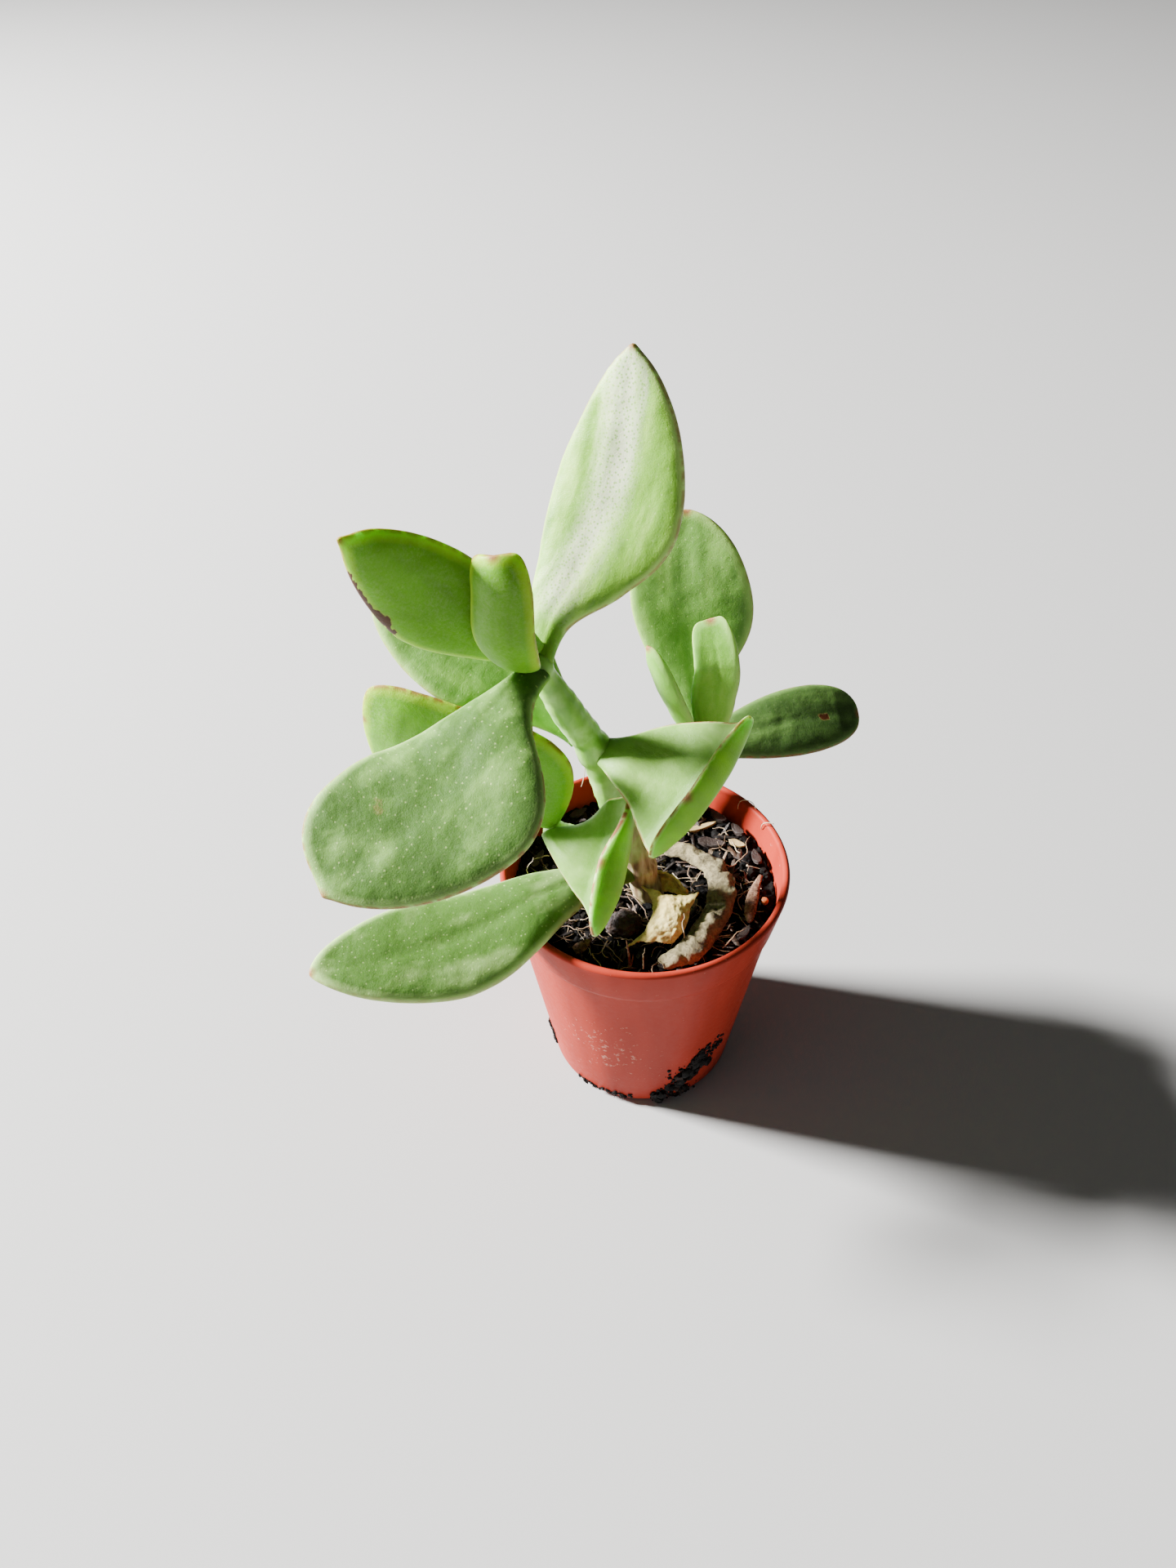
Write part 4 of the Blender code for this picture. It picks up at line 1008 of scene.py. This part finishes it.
class JADE_OT_compost(bpy.types.Operator):
    """Fills the pot with peat and strews crumbs, bark slivers and fibres over it"""

    bl_idname = "jade.compost"
    bl_label = "Compost"

    def bed(self):
        """The body of peat: a fine rough disc drawn down to the pot's floor."""
        bed = start(bpy.ops.mesh.primitive_grid_add, "compost_bed", x_subdivisions=BED_CELLS,
                    y_subdivisions=BED_CELLS, size=2)
        square = read_points(bed)
        x, y = square[:, 0], square[:, 1]
        # The square grid is drawn out to a disc that just clears the pot's wall.
        inner = np.interp(SOIL_TOP, [COLLAR_FOOT, POT_HEIGHT], [COLLAR_RADIUS, POT_RIM_RADIUS])
        top_radius = inner - POT_WALL - 0.35
        disc = np.stack([x * np.sqrt(1 - y * y / 2), y * np.sqrt(1 - x * x / 2), 0 * x], 1) * top_radius
        lumps = 0.9 * clouds(disc, 3.2, seed=2) + 0.5 * clouds(disc, 0.9, seed=3, octaves=2)
        disc[:, 2] = soil_height(disc[:, 0], disc[:, 1]) + lumps - 0.4
        write_points(bed, disc)

        # Its edge is drawn down to the pot's floor and closed.
        bpy.ops.object.mode_set(mode="EDIT")
        bpy.ops.mesh.select_mode(type="EDGE")
        bpy.ops.mesh.select_all(action="DESELECT")
        bpy.ops.mesh.select_non_manifold()
        for drop, grow in BED_STEPS:
            bpy.ops.mesh.extrude_region_move(TRANSFORM_OT_translate={"value": (0, 0, -drop * MM)})
            bpy.ops.transform.resize(value=(grow, grow, 1), center_override=(0, 0, 0))
        bpy.ops.transform.resize(value=(1, 1, 0), center_override=(0, 0, (POT_FLOOR + 0.4) * MM))
        bpy.ops.mesh.edge_face_add()
        bpy.ops.object.mode_set(mode="OBJECT")
        outward(bed)
        store(bed, "tint", 0.28 + 0.35 * clouds(read_points(bed) / MM, 5.0, seed=8))
        return bed

    def strew(self, settings):
        """Loose crumbs, bark slivers and fibres, as three meshes."""
        rng = np.random.default_rng(settings.seed)
        crumbs, shards, fibres = Pile(), Pile(), Pile()
        shapes = crumb_shapes(6, seed=20)

        def spot():
            radius, turn = STREW_REACH * math.sqrt(rng.random()), rng.uniform(0, 2 * math.pi)
            x, y = radius * math.cos(turn), radius * math.sin(turn)
            return np.array([x, y, soil_height(x, y)])

        # Crumbs of peat 0.3 to 1.1 mm in radius, mostly small, and a quarter flatter than they are wide.
        for _ in range(settings.crumbs):
            points, faces = shapes[rng.integers(len(shapes))]
            size = 0.3 + 0.8 * rng.random() ** 3
            turned = points @ random_turn(rng).T * size * (1, 1, 0.75)
            crumbs.add(turned + spot() + (0, 0, 0.25 * size), faces, rng.beta(1.6, 3.2))

        # Slivers of bark 1.6 to 5.2 mm long, thin, narrow and lying nearly flat.
        for _ in range(settings.shards):
            points, faces = shapes[rng.integers(len(shapes))]
            length = rng.uniform(0.8, 2.6)
            flat = points * (length, length * rng.uniform(0.1, 0.28), 0.16)
            lean = Matrix.Rotation(rng.normal() * 0.35, 3, "X") @ Matrix.Rotation(rng.normal() * 0.3, 3, "Y")
            turn = np.array(Matrix.Rotation(rng.uniform(0, 6.3), 3, "Z") @ lean)
            centre = spot() * (0.93, 0.93, 1)
            shards.add(flat @ turn.T + centre + (0, 0, 0.7), faces, rng.beta(1.5, 1.8))

        # Fibres 2.5 to 9 mm long. One that would leave the pot is left out.
        for _ in range(settings.fibres):
            thin = rng.uniform(0.05, 0.14)
            points, faces = wisp(rng, spot() * (0.9, 0.9, 1) + (0, 0, 0.7), rng.uniform(2.5, 9), thin, 0.3)
            if np.hypot(points[:, 0], points[:, 1]).max() < FIBRE_REACH:
                points[:, 2] = np.maximum(points[:, 2], SOIL_TOP - 0.4)
                fibres.add(points, faces, rng.random())

        for hair in HAIRS:
            line = curve_through(hair, np.linspace(0, 1, 20))
            fibres.add(*sweep(line, np.full(20, HAIR_RADIUS), sides=5), 0.9)
        return crumbs, shards, fibres

    def execute(self, context):
        peat = loose_material("moist_peat")
        settle(self.bed(), peat, "peat", "compost")
        crumbs, shards, fibres = self.strew(context.scene.jade_compost)
        settle(crumbs.piece("peat_crumbs"), peat, "peat", angle=35)
        settle(shards.piece("bark_slivers"), loose_material("composted_bark"), "bark", angle=35)
        settle(fibres.piece("root_fibres"), loose_material("root_fibre"), "straw")
        return {"FINISHED"}


class JADE_OT_stems(bpy.types.Operator):
    """Grows the main stem with its side shoot and the right stem, swollen at each node"""

    bl_idname = "jade.stems"
    bl_label = "Stems"

    def grow(self, name, stem):
        """Bevelled curve through the stem's points, made a mesh."""
        curve = start(bpy.ops.curve.primitive_nurbs_path_add, name)
        share = np.linspace(0, 1, STEM_RINGS)
        line = curve_through(stem["points"], share)
        radius = np.interp(share, np.linspace(0, 1, len(stem["radii"])), stem["radii"])

        # A ring swells at each node with a faint waist 3 mm on either side of it.
        for node in stem["nodes"]:
            gap = np.linalg.norm(line - np.asarray(node, float), axis=1)
            radius = radius + 0.45 * np.exp(-(gap / 1.6) ** 2) - 0.12 * np.exp(-((gap - 3.2) / 0.9) ** 2)
        radius = radius * (1 + 0.02 * np.sin(np.arange(STEM_RINGS) * 1.7))
        radius[-1] *= 0.6
        curve.data.splines.clear()
        spline = curve.data.splines.new("POLY")
        spline.points.add(len(line) - 1)
        for point, place, thick in zip(spline.points, line, radius):
            point.co = (*(place * MM), 1)
            point.radius = thick
        curve.data.dimensions = "3D"
        curve.data.bevel_depth = MM
        curve.data.bevel_resolution = 10
        curve.data.use_fill_caps = True
        bpy.ops.object.convert(target="MESH")
        piece = take(name)
        points = read_points(piece) / MM

        # The skin is uneven by about a tenth of a millimetre.
        swell = clouds(points, 2.4, seed=5)[:, None] * 0.12
        centre = line[np.array([np.argmin(((line - p) ** 2).sum(1)) for p in points])]
        write_points(piece, points + unit(points - centre + 1e-6) * swell)
        return piece

    def execute(self, context):
        skin = stem_material()
        settle(self.grow("side_shoot", STEMS["side_shoot"]), skin, "stem")
        settle(self.grow("main_stem_skin", STEMS["main_stem"]), skin, "stem", "main_stem")
        settle(self.grow("right_stem_skin", STEMS["right_stem"]), skin, "stem", "right_stem")
        return {"FINISHED"}


class JADE_OT_leaves(bpy.types.Operator):
    """Grows the thirteen living leaves"""

    bl_idname = "jade.leaves"
    bl_label = "Leaves"

    def execute(self, context):
        settings = context.scene.jade_leaf
        skins = {key: leaf_material("leaf_skin_" + key, finish) for key, finish in LEAF_FINISHES.items()}
        slots = dict(young="young_leaf", shaded="shaded_leaf")
        for name, leaf in LEAVES.items():
            piece = grow_leaf(name + "_blade", leaf, settings.segments, settings.rings, NECK_SINK,
                              settings.wobble)
            settle(piece, skins[leaf["finish"]], slots.get(leaf["finish"], "leaf"), name)
        return {"FINISHED"}


class JADE_OT_dry_leaves(bpy.types.Operator):
    """Makes the dead leaves and scales that lie on the compost"""

    bl_idname = "jade.dry_leaves"
    bl_label = "Dead leaves"

    def cream_leaf(self):
        """Two crumpled patches joined: the leaf's face and the flap rolled up behind it."""
        sheets = []
        for label, rows in (("face", CREAM_FACE), ("flap", CREAM_FLAP)):
            last = CREAM_POINTS - 1
            sheet = start(bpy.ops.mesh.primitive_grid_add, "cream_" + label, x_subdivisions=last,
                          y_subdivisions=last, size=2)
            flat = read_points(sheet)
            i = np.rint((1 - flat[:, 1]) / 2 * last).astype(int)
            j = np.rint((flat[:, 0] + 1) / 2 * last).astype(int)
            points = patch_points(rows, CREAM_POINTS)[i, j]
            ragged = 0.25 * clouds(points, 1.6, seed=31)[:, None] * (1, 1, 0)
            crumple = 0.4 * clouds(points, 2.0, seed=32) + 0.2 * clouds(points, 0.7, seed=33)
            points = points + ragged
            points[:, 2] += crumple
            write_points(sheet, points)
            apply_modifier(sheet, "SOLIDIFY", thickness=CREAM_THICK * MM, offset=0)
            sheets.append(sheet)
        select_only(*sheets)
        bpy.ops.object.join()
        return take("cream_leaf_shell")

    def bract(self):
        """The thin dead bract: two blades that leave one foot."""
        blades = Pile()
        foot = np.array(BRACT_FOOT)
        share = np.linspace(0, 1, 14)
        for tip, thick in BRACT_BLADES:
            line = curve_through([foot, foot * 0.5 + np.array(tip) * 0.5 + (0.15, 0, 0), tip], share)
            points, faces = sweep(line, thick * (1 - (0.93 * share) ** 1.5), sides=8)
            blades.add(points, faces, 0.6)
        return blades.piece("bract_blades")

    def execute(self, context):
        settle(self.cream_leaf(), dry_material("dead_leaf_cream"), "dry_cream", "dry_leaf_cream", angle=50)
        grey, brown = dry_material("dead_leaf_grey"), dry_material("dead_scale_brown")
        for name, leaf in DRY_PIECES.items():
            piece = grow_leaf(name + "_shell", leaf, segments=40, rings=90, sink=0, wobble=0)
            points = read_points(piece) / MM
            depth = leaf["crumple"]
            points[:, 2] += depth * clouds(points, 2.4, seed=41) + 0.35 * depth * clouds(points, 0.9, seed=42)
            points[:, :2] += 0.5 * depth * clouds(points, 1.9, seed=43)[:, None]
            write_points(piece, points)
            material, slot = (grey, "dry_grey") if name == "dry_leaf_grey" else (brown, "bark")
            settle(piece, material, slot, name)
        settle(self.bract(), brown, "bark", "dry_spike")
        return {"FINISHED"}


class JADE_OT_litter(bpy.types.Operator):
    """Makes the bark and straw chips, the clod and the seed"""

    bl_idname = "jade.litter"
    bl_label = "Chips, clod and seed"

    def chip(self, name, middle, heading, length, width, thick):
        """A split sliver: a block cut finer, tapered, warped and roughened."""
        chip = start(bpy.ops.mesh.primitive_cube_add, name + "_split", size=2)
        bpy.ops.object.mode_set(mode="EDIT")
        bpy.ops.mesh.subdivide(number_cuts=7)
        bpy.ops.object.mode_set(mode="OBJECT")
        block = read_points(chip)
        rough = clouds(block + len(name), 0.8, seed=heading)

        # It narrows to both ends, more to one of them, and the ends bend up a quarter of its thickness.
        points = block * (length / 2, 0.45 * width, 0.36 * thick)
        points[:, 1] *= (1 - 0.75 * np.abs(block[:, 0]) ** 2.5) * (1 - 0.25 * block[:, 0]) + 0.15 * rough
        points[:, 0] *= 1 + 0.12 * rough
        points[:, 2] = points[:, 2] * (1 + 0.25 * rough) + 0.25 * thick * block[:, 0] ** 2
        points = points @ np.array(Matrix.Rotation(math.radians(heading), 3, "Z")).T
        write_points(chip, points + (*middle, soil_height(*middle) + CHIP_LIFT + thick / 2))
        apply_modifier(chip, "BEVEL", width=0.1 * MM, segments=2, limit_method="ANGLE")
        store(chip, "tint", np.full(len(chip.data.vertices), 0.45))
        return chip

    def clod(self):
        """The clod of peat: a ball with two sizes of lumps, flat underneath."""
        clod = start(bpy.ops.mesh.primitive_ico_sphere_add, "peat_clod_lump", subdivisions=6, radius=1)
        ball = read_points(clod)
        lump = 1 + 0.22 * clouds(ball, 0.7, seed=51) + 0.08 * clouds(ball, 0.2, seed=52)
        points = ball * lump[:, None] * CLOD_RADII
        points[:, 2] = np.maximum(points[:, 2], 0.35 * points[:, 2] - 0.1)
        write_points(clod, points + (*CLOD_PLACE, soil_height(*CLOD_PLACE) + 0.5))
        store(clod, "tint", 0.42 + 0.4 * clouds(points, 1.6, seed=53))
        return clod

    def seed(self):
        """The round seed, a little dented on top."""
        seed = start(bpy.ops.mesh.primitive_uv_sphere_add, "seed_coat", segments=32, ring_count=20, radius=1)
        ball = read_points(seed)
        dent = 1 - 0.18 * np.clip(ball[:, 2] - 0.75, 0, 1) * 4
        place = (*SEED_PLACE, soil_height(*SEED_PLACE) + 1.2)
        write_points(seed, ball * SEED_RADIUS * dent[:, None] + place)
        store(seed, "tint", np.full(len(ball), 0.5))
        return seed

    def execute(self, context):
        bark, straw = loose_material("bark_chip"), loose_material("straw")
        for name, chip in CHIPS.items():
            material, slot = (straw, "straw") if name.startswith("straw") else (bark, "bark")
            settle(self.chip(name, *chip), material, slot, name, angle=40)
        settle(self.clod(), loose_material("clod"), "peat", "peat_clod")
        settle(self.seed(), loose_material("seed_coat"), "seed_coat", "seed")
        return {"FINISHED"}


class JADE_OT_smears(bpy.types.Operator):
    """Sticks the wet peat to the outside of the pot"""

    bl_idname = "jade.smears"
    bl_label = "Peat on the pot"

    def execute(self, context):
        wet = loose_material("wet_peat")
        shapes = crumb_shapes(5, seed=60)
        rng = np.random.default_rng(SMEAR_SEED)
        for name, (routes, half, count) in PEAT_SMEARS.items():
            pile = Pile()
            line = np.concatenate([curve_through(route, np.linspace(0, 1, 60)) for route in routes])

            # Crumbs 0.12 to 0.48 mm in radius, pressed against the wall. One in twenty is a lump.
            for _ in range(count):
                angle, height = line[rng.integers(len(line))]
                offset = rng.normal() * 0.55 * half
                angle = math.radians(angle + math.degrees(offset / 20))
                height = max(0.5, height + rng.normal() * 0.5 * half)
                points, faces = shapes[rng.integers(len(shapes))]
                size = 0.12 + 0.36 * rng.random() ** 2 + (0.3 * half if rng.random() < 0.05 else 0)
                turned = points @ random_turn(rng).T * size
                outwards = np.array([math.cos(angle), math.sin(angle), 0])
                turned = turned - 0.3 * (turned @ outwards)[:, None] * outwards
                centre = outwards * (wall_radius(height) + 0.25 * size)
                centre[2] = height
                pile.add(turned + centre, faces, rng.beta(1.3, 2.6))

            # One fibre for every nine crumbs, held within half a millimetre of the wall.
            for _ in range(count // 9):
                angle, height = line[rng.integers(len(line))]
                outwards = np.array([math.cos(math.radians(angle)), math.sin(math.radians(angle)), 0])
                foot = outwards * (wall_radius(height) + 0.15) + (0, 0, height)
                points, faces = wisp(rng, foot, rng.uniform(0.8, 2.6), 0.06, 1.0)
                points[:, 2] = np.clip(points[:, 2], 0.2, None)
                wall = wall_radius(points[:, 2])
                radius = np.hypot(points[:, 0], points[:, 1])
                points[:, :2] *= (np.clip(radius, wall + 0.05, wall + 0.5) / radius)[:, None]
                pile.add(points, faces, rng.uniform(0.2, 1.0))
            settle(pile.piece(name + "_crumbs"), wet, "peat", name, angle=35)
        return {"FINISHED"}


class JADE_OT_stage(bpy.types.Operator):
    """Sets the plain floor, the soft lights and the camera at the photograph's angle"""

    bl_idname = "jade.stage"
    bl_label = "Floor, light and camera"

    def softbox(self, name, direction, distance, size, power):
        """A square light that faces the plant's middle from the given direction."""
        aim = Vector((0, 0, LIGHT_AIM))
        light = start(bpy.ops.object.light_add, name, type="AREA",
                      location=Vector(direction).normalized() * distance + aim)
        light.rotation_euler = Vector(direction).to_track_quat("Z", "Y").to_euler()
        light.data.size = size
        light.data.energy = power

    def execute(self, context):
        settings = context.scene.jade_stage
        floor = start(bpy.ops.mesh.primitive_plane_add, "floor", size=4, location=(0, 0, 0))
        material, _, feed_shader = new_material("matt_paper_floor")
        feed_shader({"Base Color": (*settings.floor, 1.0), "Roughness": 0.9})
        floor.data.materials.append(material)

        for label, (direction, distance, size) in SOFTBOXES.items():
            self.softbox(label + "_softbox", direction, distance, size, getattr(settings, label))
        world = bpy.data.worlds.new("studio_surround")
        world.use_nodes = True
        plug(world.node_tree, world.node_tree.nodes["Background"], [(1, 1, 1, 1), settings.sky])
        context.scene.world = world

        pitch, roll = math.radians(CAMERA_PITCH), math.radians(CAMERA_ROLL)
        ahead = Vector((0, math.cos(pitch), -math.sin(pitch)))
        level = Vector((1, 0, 0))
        above = Vector((0, math.sin(pitch), math.cos(pitch)))
        right = level * math.cos(roll) + above * math.sin(roll)
        up = above * math.cos(roll) - level * math.sin(roll)
        camera = start(bpy.ops.object.camera_add, "photo_camera")
        turn = Matrix((right, up, -ahead)).transposed().to_4x4()
        camera.matrix_world = Matrix.Translation(Vector(CAMERA_PLACE) * MM) @ turn
        camera.data.sensor_fit = "AUTO"
        camera.data.sensor_width = SENSOR
        camera.data.lens = PHOTO_FOCAL / PHOTO_HEIGHT * SENSOR
        camera.data.clip_start = 0.01
        context.scene.camera = camera
        return {"FINISHED"}


PIECES = (JADE_OT_stage, JADE_OT_pot, JADE_OT_compost, JADE_OT_stems, JADE_OT_leaves, JADE_OT_dry_leaves,
          JADE_OT_litter, JADE_OT_smears)
GROUPS = dict(jade_pot=JadePotSettings, jade_leaf=JadeLeafSettings, jade_compost=JadeCompostSettings,
              jade_stage=JadeStageSettings)


class JADE_PT_panel(bpy.types.Panel):
    """Lists the pieces of the jade and their settings"""

    bl_idname = "JADE_PT_panel"
    bl_label = "Potted Trumpet Jade"
    bl_space_type = "VIEW_3D"
    bl_region_type = "UI"
    bl_category = "Jade"

    def draw(self, context):
        for operator in PIECES:
            self.layout.operator(operator.bl_idname)
        for name, group in GROUPS.items():
            box = self.layout.box()
            for field in group.__annotations__:
                box.prop(getattr(context.scene, name), field)


def register():
    for group in GROUPS.values():
        bpy.utils.register_class(group)
    for name, group in GROUPS.items():
        setattr(bpy.types.Scene, name, PointerProperty(type=group))
    for operator in PIECES:
        bpy.utils.register_class(operator)
    bpy.utils.register_class(JADE_PT_panel)


def unregister():
    bpy.utils.unregister_class(JADE_PT_panel)
    for operator in reversed(PIECES):
        bpy.utils.unregister_class(operator)
    for name, group in GROUPS.items():
        delattr(bpy.types.Scene, name)
        bpy.utils.unregister_class(group)


def main():
    register()
    bpy.ops.jade.stage()
    bpy.ops.jade.pot()
    bpy.ops.jade.compost()
    bpy.ops.jade.stems()
    bpy.ops.jade.leaves()
    bpy.ops.jade.dry_leaves()
    bpy.ops.jade.litter()
    bpy.ops.jade.smears()


if __name__ == "__main__":
    main()
